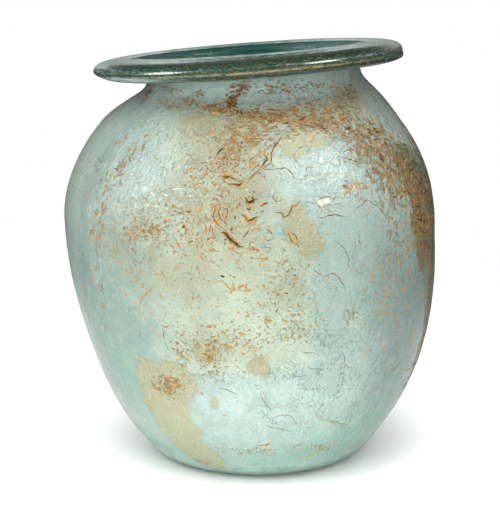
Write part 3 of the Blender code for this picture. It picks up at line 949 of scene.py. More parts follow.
# %% Helpers for masks
glass = bpy.data.materials.new("weathered_glass")
glass.use_nodes = True
tree = glass.node_tree
shader = tree.nodes["Principled BSDF"]


def layer_value(name):
    """The painted amount of a layer, from the mesh."""
    return put(tree, "Attribute", attribute_name=name).outputs["Fac"]


def calc(operation, first, second=0.0, third=0.0):
    """One step of arithmetic on two or three numbers."""
    return put(tree, "Math", {0: first, 1: second, 2: third}, operation=operation).outputs[0]

def times(first, second):
    """One number times another."""
    return calc("MULTIPLY", first, second)

def minus(first, second):
    """One number less another."""
    return calc("SUBTRACT", first, second)

def times_plus(value, factor, extra):
    """A number times a factor, and another number on top."""
    return calc("MULTIPLY_ADD", value, factor, extra)


def above(value, low, high):
    """0 below low, 1 above high, and a smooth edge between them."""
    return put(tree, "MapRange", {"Value": value, "From Min": low, "From Max": high},
               interpolation_type="SMOOTHSTEP").outputs["Result"]


def grain(place, per_mm, detail=3.0, roughness=0.5, stretch=(1.0, 1.0, 1.0), shift=0.0):
    """Soft noise with this many waves in a mm; stretch makes it longer or shorter along an axis."""
    scale = tuple(per_mm * share for share in stretch)
    moved = put(tree, "VectorMath", {0: place, 1: scale}, operation="MULTIPLY").outputs[0]
    moved = put(tree, "VectorMath", {0: moved, 1: (shift, 2 * shift, 3 * shift)}, operation="ADD").outputs[0]
    made = put(tree, "TexNoise", {"Vector": moved, "Scale": 1.0, "Detail": detail, "Roughness": roughness})
    return made.outputs[0]


def lay(share, below, over):
    """Lays one colour over another, where share is above 0."""
    made = put(tree, "Mix", {0: share}, data_type="RGBA")
    for key, value in ((6, below), (7, over)):
        if isinstance(value, bpy.types.NodeSocket):
            tree.links.new(value, made.inputs[key])
        else:
            made.inputs[key].default_value = value
    return made.outputs[2]

def coat(below, share, strength, over):
    """Lays a colour over another, at part of its strength."""
    return lay(times(share, strength), below, over)


def warped(place, per_mm, reach):
    """Coordinates that wander by up to about reach mm, for torn and curling edges."""
    inputs = {0: place, 1: (per_mm, per_mm, per_mm)}
    scaled = put(tree, "VectorMath", inputs, operation="MULTIPLY").outputs[0]
    swirl = put(tree, "TexNoise", {"Vector": scaled, "Scale": 1.0, "Detail": 2.0}).outputs["Color"]
    middle = put(tree, "VectorMath", {0: swirl, 1: (0.5, 0.5, 0.5)}, operation="SUBTRACT").outputs[0]
    push = put(tree, "VectorMath", {0: middle, "Scale": 2 * reach}, operation="SCALE").outputs[0]
    return put(tree, "VectorMath", {0: place, 1: push}, operation="ADD").outputs[0]


skin_at = put(tree, "Attribute", attribute_name="skin").outputs["Vector"]
curly = warped(skin_at, 0.07, 11.0)
torn = warped(skin_at, 0.22, 2.4)
ruffled = warped(skin_at, 0.55, 1.0)


def contrast(value, factor):
    """Spreads a noise value further from its middle, 0.5."""
    return times_plus(minus(value, 0.5), factor, 0.5)


def holds(value, amount, spread, low=0.85, reach=0.5):
    """Where a layer holds: the more of it is painted, the more of the noise is above its threshold."""
    threshold = times_plus(amount, -reach, low)
    off = minus(value, threshold)
    painted = above(amount, 0.0, 0.12)
    return times(above(off, 0.0, spread), painted), off


# %% [markdown]
# ### Clear glass
# The glass itself is aqua: greyer where it is bare, with painted shade where the belly turns away at the
# sides, greener at the thick foot, and painted pale where the highlights and a glow of light fall. It is
# the colour that all others are laid over.

# %% Clear glass
CLEAR, BARE_AND_SHADE = from_screen(172, 196, 186), from_screen(130, 162, 158)
DEEP, PAINTED_LIGHT_PALE = from_screen(120, 180, 158), from_screen(212, 238, 232)
cloud = grain(curly, 0.035, 6.0, 0.62)
# Bare glass is greyer and bluer; along the sides the same colour is painted shade.
bare_and_shade = above(times_plus(cloud, 0.9, minus(layer_value("bare_and_shade"), 0.45)), 0.1, 0.9)
colour = lay(times(bare_and_shade, 0.9), CLEAR, BARE_AND_SHADE)
colour = coat(colour, layer_value("deep"), 0.85, DEEP)
# Painted light: the highlights on the shoulders, the glow low on the belly and the light on the neck are
# painted pale.
painted_light = times(layer_value("painted_light"), above(grain(curly, 0.06, 4.0, 0.55), 0.25, 0.65))
colour = coat(colour, painted_light, 0.7, PAINTED_LIGHT_PALE)

# %% [markdown]
# ### Film
# The thinnest sheets of skin look cream low on the body and beige above it. They hide about half of the
# glass, so the film is laid at about half strength.

# %% Film, cream below and beige above
CREAM, BEIGE = from_screen(180, 192, 160), from_screen(142, 132, 90)
film_grain = grain(curly, 0.08, 8.0, 0.70)
film = above(times_plus(film_grain, 1.2, minus(layer_value("film"), 0.60)), 0.20, 0.84)
warm_grain = contrast(grain(curly, 0.05, 6.0, 0.65, shift=7.0), 1.6)
warmer = times_plus(warm_grain, 0.7, minus(layer_value("beige"), 0.35))
film_colour = lay(above(warmer, 0.15, 0.85), CREAM, BEIGE)
film_share = times_plus(layer_value("beige"), 0.32, 0.48)
colour = lay(times(film, film_share), colour, film_colour)

# %% [markdown]
# ### Painted side shade
# Low at the sides a painted grey shade darkens the glass. It has no edges, so noise only makes it stronger
# and weaker.

# %% Painted grey shade low at the sides
SIDE_SHADE_GREY = from_screen(92, 120, 116)
side_shade_grain = times_plus(grain(curly, 0.08, 5.0, 0.6, shift=15.0), 0.6, 0.25)
colour = lay(times(layer_value("painted_side_shade"), side_shade_grain), colour, SIDE_SHADE_GREY)

# %% [markdown]
# ### Tan crust
# Where the skin is thick, it is a smooth tan sheet with torn edges. A steep step in noise makes a crisp
# edge, and a wide weak step under it makes the stain round the sheet.

# %% Smooth tan crust with crisp edges
TAN, OLIVE = from_screen(164, 142, 90), from_screen(150, 150, 102)
tan_grain = contrast(grain(torn, 0.14, 7.0, 0.68, shift=3.0), 1.6)
tan_value = times_plus(tan_grain, 0.8, minus(layer_value("tan"), 0.40))
tan = above(tan_value, 0.44, 0.48)
tan_colour = lay(above(grain(curly, 0.12, 6.0, 0.65), 0.38, 0.62), TAN, OLIVE)
colour = coat(colour, above(tan_value, 0.10, 0.60), 0.36, OLIVE)
tan_share = times_plus(contrast(grain(torn, 0.30, 5.0, 0.65, shift=14.0), 1.6), 0.45, 0.32)
colour = lay(times(tan, tan_share), colour, tan_colour)

# %% [markdown]
# ### Mottling
# From near, the whole skin is mottled. A fine and a broad noise are each laid twice, their high values as
# pale spots and their low values as dark ones, and less under the painted highlights and glow.

# %% Fine mottling all over
MOTTLE_DARK, MOTTLE_PALE = from_screen(112, 136, 124), from_screen(228, 236, 222)
MOTTLE_WARM = from_screen(198, 170, 120)
calm = times_plus(layer_value("painted_light"), -0.65, 1.0)
mottle = grain(skin_at, 1.15, 4.0, 0.75, shift=40.0)
colour = lay(times(above(mottle, 0.50, 0.72), times(calm, 0.36)), colour, MOTTLE_PALE)
colour = lay(times(above(mottle, 0.48, 0.26), times(calm, 0.42)), colour, MOTTLE_DARK)
blotch = grain(curly, 0.16, 6.0, 0.7, shift=41.0)
colour = lay(times(above(blotch, 0.50, 0.75), times(calm, 0.26)), colour, MOTTLE_PALE)
colour = lay(times(above(blotch, 0.48, 0.22), times(calm, 0.26)), colour, MOTTLE_DARK)
warm = above(grain(torn, 0.6, 4.0, 0.7, stretch=(1.0, 1.0, 0.6), shift=43.0), 0.54, 0.64)
colour = coat(colour, warm, 0.40, MOTTLE_WARM)

# %% [markdown]
# ### Streaks
# Water ran down the wall and left streaks, pale and ochre. Noise that is stretched along the section
# makes them.

# %% Streaks that run up the wall
STREAK, STREAK_PALE = from_screen(198, 172, 120), from_screen(212, 222, 208)
up_the_wall = (1.0, 1.0, 0.13)
streak_grain = contrast(grain(torn, 0.42, 5.0, 0.72, stretch=up_the_wall), 2.2)
streak = times(above(streak_grain, 0.66, 0.78), layer_value("streak"))
pale_streak = times(above(streak_grain, 0.36, 0.22), layer_value("streak"))
colour = coat(colour, streak, 0.75, STREAK)
colour = coat(colour, pale_streak, 0.60, STREAK_PALE)

# %% [markdown]
# ### Brown crust
# The right side carries a dark crust that is cracked like bark. Noise with strong contrast gives its
# cracks.

# %% The brown crust
BROWN, DARK = from_screen(112, 104, 60), from_screen(42, 32, 10)
brown_grain = contrast(grain(torn, 0.30, 6.0, 0.72, stretch=(0.8, 0.8, 0.6), shift=11.0), 2.4)
brown_value = times_plus(brown_grain, 0.7, minus(layer_value("brown"), 0.35))
brown = above(brown_value, 0.36, 0.46)
bark_grain = contrast(grain(ruffled, 0.62, 6.0, 0.76, stretch=(0.50, 0.50, 0.42), shift=12.0), 2.8)
dark_cracks = above(bark_grain, 0.40, 0.60)
colour = coat(colour, brown, 0.88, lay(dark_cracks, BROWN, DARK))

# %% [markdown]
# ### Flecks
# Dirt clings to torn edges as rust and ochre flecks. On the shoulder they lie along the turning, and
# lower down they run every way, so two stretched noises are blended by height. At the side they run up
# the wall like bark.

# %% Flecks that run round the shoulder, and bark-like flecks that run up the side
OCHRE, RUST, UMBER = from_screen(192, 148, 76), from_screen(150, 102, 34), from_screen(84, 58, 18)
BARK_PALE, BARK = from_screen(176, 148, 88), from_screen(124, 94, 40)
round_the_shoulder = contrast(grain(ruffled, 0.75, 6.0, 0.72, stretch=(0.32, 0.32, 1.30), shift=1.0), 2.5)
below_it = contrast(grain(ruffled, 0.75, 6.0, 0.74, stretch=(0.70, 0.70, 0.85), shift=1.0), 2.5)
on_shoulder = above(put(tree, "SeparateXYZ", {0: skin_at}).outputs[2], 182.0, 200.0)
fleck_grain = times_plus(minus(round_the_shoulder, below_it), on_shoulder, below_it)
clump = above(grain(curly, 0.14, 3.0, shift=5.0), 0.25, 0.65)
fleck_amount = times(layer_value("fleck"), times_plus(clump, 0.5, 0.6))
fleck, fleck_off = holds(fleck_grain, fleck_amount, 0.08, reach=0.6)
bark, bark_off = holds(bark_grain, layer_value("bark"), 0.10, reach=0.6)
crumb_off = calc("MAXIMUM", fleck_off, bark_off)
crumb = calc("MAXIMUM", fleck, bark)
crumb_colour = lay(above(crumb_off, 0.19, 0.32), lay(above(crumb_off, 0.07, 0.18), OCHRE, RUST), UMBER)
bark_colour = lay(above(bark_off, 0.30, 0.46), lay(above(bark_off, 0.10, 0.26), BARK_PALE, BARK), UMBER)
crumb_colour = lay(above(minus(bark, fleck), 0.0, 0.5), crumb_colour, bark_colour)
colour = coat(colour, crumb, 0.92, crumb_colour)

# %% [markdown]
# ### Curls
# In the middle the skin has curled up. The contours of a soft noise give lines that wind and close, dark
# in the curl and ochre beside it.

# %% Curls, dark on one side and ochre on the other
curl_field = calc("FRACT", times(grain(curly, 0.10, 1.5, 0.4, shift=2.0), 9.0))
curl_break = contrast(grain(torn, 0.22, 3.0, 0.6, shift=4.0), 2.0)
curl_holds, _ = holds(curl_break, times(layer_value("curl"), 0.75), 0.12)
curl_dark = times(minus(1.0, above(curl_field, 0.08, 0.17)), curl_holds)
curl_warm = times(minus(1.0, above(curl_field, 0.30, 0.52)), curl_holds)
colour = coat(colour, curl_warm, 0.62, OCHRE)
curl_tone = lay(above(grain(torn, 0.3, 2.0, shift=60.0), 0.42, 0.58), UMBER, RUST)
colour = coat(colour, curl_dark, 0.85, curl_tone)

# %% [markdown]
# ### Veins
# Thin ochre lines branch over the right side. They lie where a noise passes its middle value, and a
# second noise breaks them up.

# %% Veins, thin ochre lines on the right
VEIN = from_screen(192, 158, 108)
vein_field = grain(torn, 0.16, 3.0, 0.55, stretch=(1.3, 1.3, 0.6), shift=70.0)
vein_line = minus(1.0, above(calc("ABSOLUTE", minus(vein_field, 0.5)), 0.010, 0.030))
vein_break, _ = holds(contrast(grain(torn, 0.25, 3.0, shift=71.0), 2.0), layer_value("vein"), 0.15)
vein = times(vein_line, vein_break)
colour = coat(colour, vein, 0.75, VEIN)

# %% [markdown]
# ### Dots
# Round spots of tan dirt lie everywhere, in all sizes. Cells round scattered points make them, each with
# a size of its own by chance.

# %% Dots


def dots(place, per_mm, shift):
    """Round spots of all sizes, scattered: how far inside a spot each point is, below 0 outside."""
    scale = (per_mm, per_mm, per_mm)
    moved = put(tree, "VectorMath", {0: place, 1: scale}, operation="MULTIPLY").outputs[0]
    moved = put(tree, "VectorMath", {0: moved, 1: (shift, shift, shift)}, operation="ADD").outputs[0]
    cell = put(tree, "TexVoronoi", {"Vector": moved, "Scale": 1.0, "Randomness": 1.0})
    chance = put(tree, "SeparateColor", {0: cell.outputs["Color"]}).outputs[0]
    size = times(minus(chance, 0.70), 1.2)
    return minus(size, cell.outputs["Distance"])


DOT_PALE, DOT_DARK = from_screen(204, 170, 116), from_screen(176, 124, 68)
dot_off = dots(ruffled, 0.30, 9.0)
dot_amount = times_plus(layer_value("dots"), 0.22, minus(dot_off, 0.14))
dot = above(dot_amount, 0.0, 0.07)
dot_colour = lay(above(dot_amount, 0.10, 0.22), DOT_PALE, DOT_DARK)
colour = coat(colour, dot, 0.85, dot_colour)

# %% [markdown]
# ### Outlines
# Sheets of skin that lie over each other show fine outlines, like coasts on a map. They are contours of
# noise, too.

# %% Outlines of flakes
LINE_DARK, LINE_RUST = from_screen(92, 100, 82), from_screen(140, 88, 44)


def outline(place, per_mm, lines, width, shift):
    """Thin lines along the contours of soft noise, broken up by a second noise."""
    field = times(grain(place, per_mm, 2.0, 0.45, shift=shift), lines)
    off = calc("ABSOLUTE", minus(calc("FRACT", field), 0.5))
    line = minus(1.0, above(off, 0.0, width))
    return times(line, above(grain(place, 0.08, 2.0, shift=shift + 4.0), 0.47, 0.56))


fine_lines = outline(curly, 0.055, 16.0, 0.09, 2.0)
coast_lines = outline(curly, 0.028, 7.0, 0.035, 9.0)
lines = times(calc("MAXIMUM", fine_lines, coast_lines), layer_value("contour"))
line_colour = lay(above(grain(skin_at, 0.1, 2.0, shift=6.0), 0.42, 0.58), LINE_DARK, LINE_RUST)
colour = coat(colour, lines, 0.7, line_colour)

# %% [markdown]
# ### Wrinkles
# Low on the right the film has shrunk into fine wrinkles. They are many close contours, faint and broken.

# %% Fine wrinkles in the skin
WRINKLE = from_screen(92, 128, 116)
fold_grain = grain(torn, 0.15, 3.0, 0.50, shift=8.0)
fold_off = calc("ABSOLUTE", minus(calc("FRACT", times(fold_grain, 7.0)), 0.5))
fold_line = minus(1.0, above(fold_off, 0.04, 0.22))
fold_break = above(grain(curly, 0.10, 3.0, shift=80.0), 0.40, 0.58)
wrinkle = times(times(fold_line, fold_break), layer_value("wrinkle"))
colour = coat(colour, wrinkle, 0.62, WRINKLE)

# %% [markdown]
# ### Iridescence
# A film as thin as a soap bubble's splits light into colours. Only a few small spots show it, teal and
# pink.

# %% Spots of colour where the film is thin
TEAL, PINK = from_screen(70, 176, 178), from_screen(206, 100, 150)
iris_grain = grain(ruffled, 0.60, 3.0, 0.6, shift=13.0)
iris = above(times_plus(layer_value("iris"), 0.30, iris_grain), 0.74, 0.78)
iris_colour = lay(above(grain(torn, 0.5, 1.0, shift=17.0), 0.54, 0.57), TEAL, PINK)
colour = coat(colour, iris, 0.6, iris_colour)

# %% [markdown]
# ### The rim and the inside
# The rim is dark teal glass under bands that run round it, so its noise is stretched round it: pale film
# with painted light over it, olive bands, painted dark reflections and shade, and a painted tan reflection.
# The inside is deep teal, darkened as painted shade in the hollow, a little milky near the mouth.

# %% The rim and the inside
RIM_TEAL, RIM_OLIVE, RIM_PALE = from_screen(6, 88, 76), from_screen(70, 98, 76), from_screen(214, 234, 226)
RIM_TAN_REFLECTION, RIM_BROWN, RIM_DARK = from_screen(206, 188, 144), from_screen(62, 80, 56), from_screen(24, 34, 18)
RIM_RUST, MOUTH_MILK = from_screen(176, 116, 56), from_screen(150, 182, 176)
SHADED_INSIDE, SHADED_INSIDE_MILKY = from_screen(0, 86, 76), from_screen(10, 106, 94)
RIM_STREAKS = (0.10, 0.10, 1.0)
rim_grain = grain(torn, 1.1, 4.0, 0.6, stretch=RIM_STREAKS, shift=20.0)
rim_colour = lay(times(above(rim_grain, 0.40, 0.60), layer_value("rim_brown")), RIM_TEAL, RIM_OLIVE)


def rim_layer(name, noise_at, strength):
    """The painted amount of a rim layer, broken up by streaks that run round the rim."""
    return times(times(layer_value(name), strength), above(noise_at, 0.30, 0.50))


rim_colour = lay(rim_layer("rim_brown", rim_grain, 0.85), rim_colour, RIM_BROWN)
pale_grain = contrast(grain(torn, 0.9, 5.0, 0.7, stretch=(0.12, 0.12, 1.0), shift=24.0), 1.6)
# Pale rim film, with painted highlights and reflections laid in the same colour.
pale_film_and_light = above(times_plus(pale_grain, 0.6, minus(layer_value("rim_film_and_light"), 0.30)), 0.10, 0.75)
rim_colour = lay(times(pale_film_and_light, 0.92), rim_colour, RIM_PALE)
# Painted dark reflections and shade, in bands on the roll.
rim_colour = lay(rim_layer("rim_painted_dark", pale_grain, 0.85), rim_colour, RIM_DARK)
# The tan band low on the roll is a painted reflection of the shoulder.
rim_tan_reflection = rim_layer("rim_tan_reflection", pale_grain, 0.85)
rim_colour = lay(rim_tan_reflection, rim_colour, RIM_TAN_REFLECTION)
rim_speck = contrast(grain(torn, 1.3, 4.0, 0.72, stretch=(0.18, 0.18, 1.0), shift=26.0), 1.8)
outside_mouth = times_plus(layer_value("throat"), -1.0, 1.0)
pale_speck = times(above(rim_speck, 0.58, 0.80), outside_mouth)
rim_colour = lay(times(pale_speck, 0.32), rim_colour, RIM_PALE)
rim_colour = lay(times(above(rim_speck, 0.45, 0.20), 0.68), rim_colour, RIM_DARK)
rim_fleck = times(above(grain(torn, 0.9, 3.0, 0.65, shift=22.0), 0.60, 0.66), outside_mouth)
rim_colour = lay(times(rim_fleck, 0.70), rim_colour, RIM_RUST)
colour = lay(layer_value("rim"), colour, rim_colour)
# The inside: deep teal glass, darkened as painted shade in the hollow, with paler milky spots.
milky = above(grain(curly, 0.05, 4.0, shift=50.0), 0.40, 0.65)
colour = lay(layer_value("inside"), colour, lay(milky, SHADED_INSIDE, SHADED_INSIDE_MILKY))
colour = coat(colour, layer_value("mouth_milk"), 0.6, MOUTH_MILK)

# %% [markdown]
# ### Light through the glass
# Where no skin lies, a share of the light passes through the glass. Skin is rougher than glass, and crust
# is rougher still.

# %% Join the glass
crust = calc("MAXIMUM", calc("MAXIMUM", film, tan), calc("MAXIMUM", brown, crumb))
bare_body = minus(1.0, calc("MAXIMUM", crust, layer_value("rim")))
rim_bare = minus(layer_value("rim"), calc("MAXIMUM", pale_film_and_light, rim_tan_reflection))
passing = times_plus(bare_body, 0.18, times(calc("MAXIMUM", rim_bare, 0.0), 0.35))
rough = times_plus(crust, 0.12, 0.24)
rough = times_plus(layer_value("rim"), -0.06, rough)
rough = times_plus(calc("MAXIMUM", brown, crumb), 0.15, rough)
rough = times_plus(layer_value("foil"), -0.13, rough)
rough = times_plus(layer_value("throat"), 0.06, rough)
tree.links.new(colour, shader.inputs["Base Color"])
tree.links.new(rough, shader.inputs["Roughness"])
tree.links.new(passing, shader.inputs["Transmission Weight"])
shader.inputs["IOR"].default_value = 1.5

# %% [markdown]
# ### Fine relief
# The mesh carries the relief that can be told apart. What is finer is bump: the grain of the skin, its
# wrinkles and crusts, and the lines that the turning left in the mouth.

# %% Give the skin its fine relief
crease = above(calc("ABSOLUTE", minus(fold_grain, 0.5)), 0.0, 0.10)
roughness_of_skin = times_plus(layer_value("streak"), -0.30, 0.45)
roughness_of_skin = times_plus(layer_value("foil"), 0.9, roughness_of_skin)
bump_height = times(grain(torn, 0.45, 4.0, 0.6, shift=30.0), roughness_of_skin)
bump_height = times_plus(times(streak_grain, layer_value("streak")), 0.12, bump_height)
bump_height = times_plus(times(crease, layer_value("wrinkle")), 0.22, bump_height)
sparkle = times(grain(torn, 0.80, 3.0, 0.6, shift=33.0), layer_value("foil"))
bump_height = times_plus(sparkle, 0.55, bump_height)
bump_height = times_plus(grain(skin_at, 0.12, 4.0, shift=31.0), 0.3, bump_height)
bump_height = times_plus(tan, 0.10, bump_height)
bump_height = times_plus(film, 0.08, bump_height)
bump_height = times_plus(crumb, 0.30, bump_height)
bump_height = times_plus(curl_warm, 0.12, bump_height)
bump_height = times_plus(curl_dark, -0.20, bump_height)
bump_height = times_plus(lines, -0.15, bump_height)
bump_height = times(bump_height, times_plus(layer_value("rim"), -0.8, 1.0))
round_lines = grain(torn, 1.6, 2.0, 0.5, stretch=(0.04, 0.04, 1.0), shift=28.0)
bump_height = times_plus(times(round_lines, layer_value("throat")), 0.75, bump_height)
bumps = put(tree, "Bump", {"Height": bump_height, "Distance": 1.0 * MM, "Strength": 1.0}).outputs[0]
tree.links.new(bumps, shader.inputs["Normal"])
mesh.materials.append(glass)
print(len(tree.nodes), "nodes in the weathered glass")

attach(urn, "root")
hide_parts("urn")

# %% [markdown]
# ## Edges of flakes
# Where a sheet of skin has come away, its edge curls up, and dirt stays in the curl as a thin dark line.
# The larger edges are real relief: low ridges that lie on the glass, each drawn through a few given pixels.
# Each one has a width in mm, tapers at both ends and takes a colour from dark to pale.

# %% Draw the flake edges
FLAKE_EDGES = {
    "dark": [
        (1.1, (220, 202), (214, 208), (213, 217), (216, 223), (222, 228)),
        (0.8, (222, 207), (227, 208), (228, 215), (224, 220), (228, 227)),
        (0.8, (221, 208), (218, 213), (221, 219), (225, 223)),
        (2.4, (221, 232), (227, 234), (231, 240), (237, 245), (242, 247)),
        (1.5, (219, 176), (227, 176), (233, 179), (236, 181)),
        (0.8, (222, 177), (225, 181), (233, 185), (242, 183), (245, 180)),
        (1.7, (236, 185), (242, 183)),
        (1.3, (245, 196), (248, 203), (252, 202), (254, 197)),
        (1.5, (242, 215), (246, 217), (248, 222), (255, 217), (258, 216)),
        (1.8, (238, 204), (241, 205)),
        (0.9, (243, 237), (248, 231)),
        (2.2, (228, 94), (232, 99), (230, 103), (235, 107)),
        (1.3, (237, 86), (243, 85)),
        (0.9, (198, 92), (203, 93), (202, 97)),
        (1.0, (286, 131), (281, 137), (277, 143), (272, 150), (271, 157), (272, 161), (267, 166),
         (261, 170)),
        (1.3, (265, 148), (264, 155), (267, 158), (264, 163), (261, 168)),
        (0.8, (261, 170), (253, 175), (247, 180)),
        (0.7, (343, 153), (347, 150), (355, 149), (358, 156), (362, 163)),
        (0.8, (343, 157), (352, 159), (362, 164)),
        (1.1, (287, 230), (289, 237), (295, 244), (300, 247)),
        (0.9, (273, 213), (280, 212), (286, 218), (290, 212), (292, 207), (300, 201)),
        (1.2, (245, 203), (250, 202), (257, 198)),
        (1.0, (260, 207), (265, 204), (270, 202)),
        (1.1, (390, 163), (392, 170), (389, 177)),
        (0.9, (377, 173), (384, 175), (390, 178)),
        (1.7, (395, 158), (397, 162), (398, 167)),
        (1.5, (388, 132), (392, 135)),
        (1.5, (277, 86), (280, 87)),
        (1.1, (290, 85), (293, 88)),
        (1.5, (263, 93), (268, 95)),
        (1.1, (269, 81), (272, 82)),
        (0.9, (200, 393), (203, 396)),
        (0.7, (112, 181), (118, 174), (124, 166)),
        (0.6, (126, 163), (132, 155), (136, 147)),
        (1.0, (232, 134), (235, 136), (233, 138)),
        (1.2, (405, 170), (409, 178), (410, 186)),
        (1.2, (414, 196), (417, 206), (417, 214)),
        (1.1, (400, 182), (404, 190)),
    ],
    "rust": [
        (1.0, (205, 217), (211, 221)),
        (1.1, (211, 223), (210, 232)),
        (0.9, (183, 222), (186, 230), (185, 236)),
        (0.9, (289, 232), (295, 235), (299, 242), (300, 246)),
        (1.3, (150, 378), (152, 385), (158, 390), (163, 388)),
        (1.3, (163, 377), (173, 378), (178, 385), (177, 391)),
        (1.1, (167, 384), (172, 388), (170, 392)),
        (1.2, (177, 352), (183, 357), (187, 360)),
        (1.4, (207, 362), (212, 360), (212, 355)),
        (1.2, (350, 78), (354, 83)),
        (1.2, (362, 126), (368, 130), (376, 132)),
        (1.3, (335, 118), (343, 121), (350, 121)),
        (1.2, (300, 117), (308, 119), (315, 118)),
        (1.2, (275, 117), (283, 120), (290, 119)),
        (1.4, (210, 110), (217, 112), (224, 109)),
        (1.0, (250, 130), (247, 137), (250, 143)),
        (1.0, (254, 158), (249, 163), (251, 169)),
        (0.9, (203, 222), (207, 229), (206, 236)),
        (1.0, (370, 140), (377, 146), (384, 150)),
        (1.1, (296, 283), (292, 288)),
    ],
    "ochre": [
        (0.8, (232, 187), (240, 189), (246, 185), (255, 175)),
        (1.0, (197, 225), (199, 220), (203, 218)),
        (0.7, (170, 207), (180, 207), (184, 212), (190, 215), (195, 215), (198, 218), (206, 218)),
        (0.9, (127, 230), (133, 227), (140, 231), (146, 236)),
        (0.9, (130, 237), (134, 240), (137, 235)),
        (1.1, (175, 238), (178, 247), (182, 252)),
        (1.1, (142, 137), (150, 134)),
        (1.0, (104, 201), (110, 194)),
        (0.9, (230, 250), (237, 252), (242, 254)),
        (1.1, (309, 142), (313, 140), (314, 135)),
        (0.8, (352, 178), (357, 187), (358, 195)),
        (0.8, (362, 182), (368, 185), (362, 190), (372, 185)),
        (0.7, (245, 232), (252, 225), (260, 217)),
        (0.7, (243, 228), (249, 223), (256, 219)),
        (0.7, (247, 236), (255, 229), (262, 222)),
        (0.8, (250, 238), (257, 240)),
        (0.9, (252, 259), (263, 258), (262, 263)),
        (0.9, (274, 260), (278, 262), (277, 267)),
        (0.7, (220, 279), (227, 287), (233, 290), (245, 291), (247, 296)),
        (0.9, (160, 271), (164, 277), (168, 282)),
        (0.9, (152, 287), (147, 292), (140, 301), (138, 306)),
        (1.1, (160, 325), (165, 327), (169, 325)),
        (1.2, (162, 306), (165, 309)),
        (1.3, (197, 307), (200, 310)),
        (0.8, (190, 315), (193, 321)),
        (1.1, (223, 347), (233, 347), (235, 352)),
        (1.5, (238, 333), (245, 334)),
        (1.5, (206, 327), (211, 328)),
        (0.7, (318, 418), (332, 423), (343, 425)),
        (0.8, (340, 440), (328, 446), (317, 453), (305, 458), (295, 460)),
        (1.0, (257, 445), (262, 447), (273, 442)),
        (0.6, (383, 280), (385, 290), (385, 298), (387, 306)),
        (0.8, (395, 272), (394, 282), (391, 293), (388, 298)),
        (0.7, (408, 272), (406, 284), (405, 293)),
        (0.7, (407, 303), (407, 316)),
        (0.6, (398, 308), (397, 322), (397, 332), (392, 338)),
        (0.9, (392, 338), (387, 347), (385, 354)),
        (0.8, (383, 311), (377, 322)),
        (0.7, (412, 326), (413, 346)),
        (0.6, (396, 250), (401, 262), (398, 274)),
        (0.6, (413, 262), (411, 274), (414, 284)),
        (0.6, (420, 286), (422, 300)),
        (0.6, (376, 262), (382, 270), (383, 280)),
        (0.6, (389, 305), (396, 304), (403, 301)),
        (0.9, (407, 240), (409, 247), (406, 255), (412, 257)),
        (0.9, (94, 215), (92, 225), (94, 235)),
        (0.9, (112, 245), (115, 252), (113, 258)),
        (1.0, (257, 302), (262, 306)),
        (1.0, (270, 316), (266, 322)),
        (0.9, (245, 310), (249, 316)),
        (0.9, (320, 318), (326, 320)),
    ],
    "line": [
        (0.7, (245, 181), (255, 174), (267, 169), (281, 169), (284, 167), (291, 170), (293, 177),
         (300, 180), (308, 179)),
        (0.7, (311, 146), (303, 145), (297, 150), (293, 155), (295, 161), (302, 167)),
        (0.5, (210, 91), (222, 88), (235, 84)),
        (0.6, (263, 229), (268, 230), (274, 235), (273, 240), (267, 242), (263, 235)),
        (0.6, (262, 248), (268, 247), (272, 249), (268, 252), (263, 252)),
        (0.6, (300, 202), (312, 202), (318, 203), (318, 198), (328, 197), (334, 197), (325, 203),
         (320, 207)),
        (0.6, (320, 207), (325, 212), (317, 215), (318, 220), (335, 213), (343, 217), (350, 217)),
        (0.7, (350, 217), (355, 210), (363, 203), (367, 200), (373, 202), (380, 208), (387, 217),
         (392, 225)),
        (0.5, (308, 265), (318, 273), (325, 277), (335, 272), (342, 280), (346, 290)),
        (0.5, (162, 328), (164, 340), (167, 350)),
        (0.5, (140, 332), (140, 339)),
        (0.5, (220, 388), (228, 391), (237, 395)),
        (0.5, (267, 420), (277, 416), (291, 415), (293, 420), (298, 426), (290, 432), (278, 428),
         (268, 428), (267, 421)),
        (0.5, (261, 393), (263, 402), (270, 408), (272, 413)),
        (0.5, (325, 403), (318, 410), (315, 418)),
        (0.5, (335, 278), (343, 283), (347, 290)),
        (0.5, (315, 295), (316, 305), (318, 315)),
        (0.5, (170, 210), (180, 212), (190, 218)),
        (0.5, (335, 240), (345, 248), (350, 258), (348, 270)),
        (0.5, (360, 230), (358, 240), (364, 248)),
        (0.5, (300, 350), (308, 354), (314, 352), (320, 357)),
        (0.5, (292, 375), (300, 378), (308, 375)),
        (0.5, (340, 350), (346, 358), (344, 368)),
        (0.5, (390, 374), (395, 369), (401, 364)),
        (0.5, (372, 367), (376, 360), (380, 353)),
        (0.5, (343, 378), (346, 368), (351, 367), (357, 369)),
        (0.5, (365, 395), (372, 393), (379, 388)),
        (0.5, (327, 420), (336, 423), (348, 425)),
        (0.5, (397, 360), (398, 348), (396, 340)),
        (0.5, (378, 330), (382, 338), (379, 345)),
        (0.5, (305, 365), (312, 370), (322, 368), (326, 374)),
        (0.5, (300, 388), (309, 391), (318, 387)),
    ],
    # Pale edges: pale flakes whose colour is partly a painted glint where they catch the lamps.
    "pale": [
        (0.8, (302, 167), (312, 168), (322, 163), (332, 158)),
        (1.0, (318, 200), (327, 199)),
        (0.8, (309, 178), (316, 180), (320, 177)),
        (0.8, (303, 152), (310, 154), (318, 152)),
        (0.8, (352, 182), (356, 190)),
        (0.9, (150, 192), (156, 196)),
        (0.9, (145, 204), (150, 206)),
        (0.9, (163, 194), (168, 196)),
        (0.8, (170, 190), (178, 188), (186, 190)),
        (0.8, (322, 212), (335, 209), (346, 213)),
        (0.7, (262, 394), (266, 402)),
    ],
}
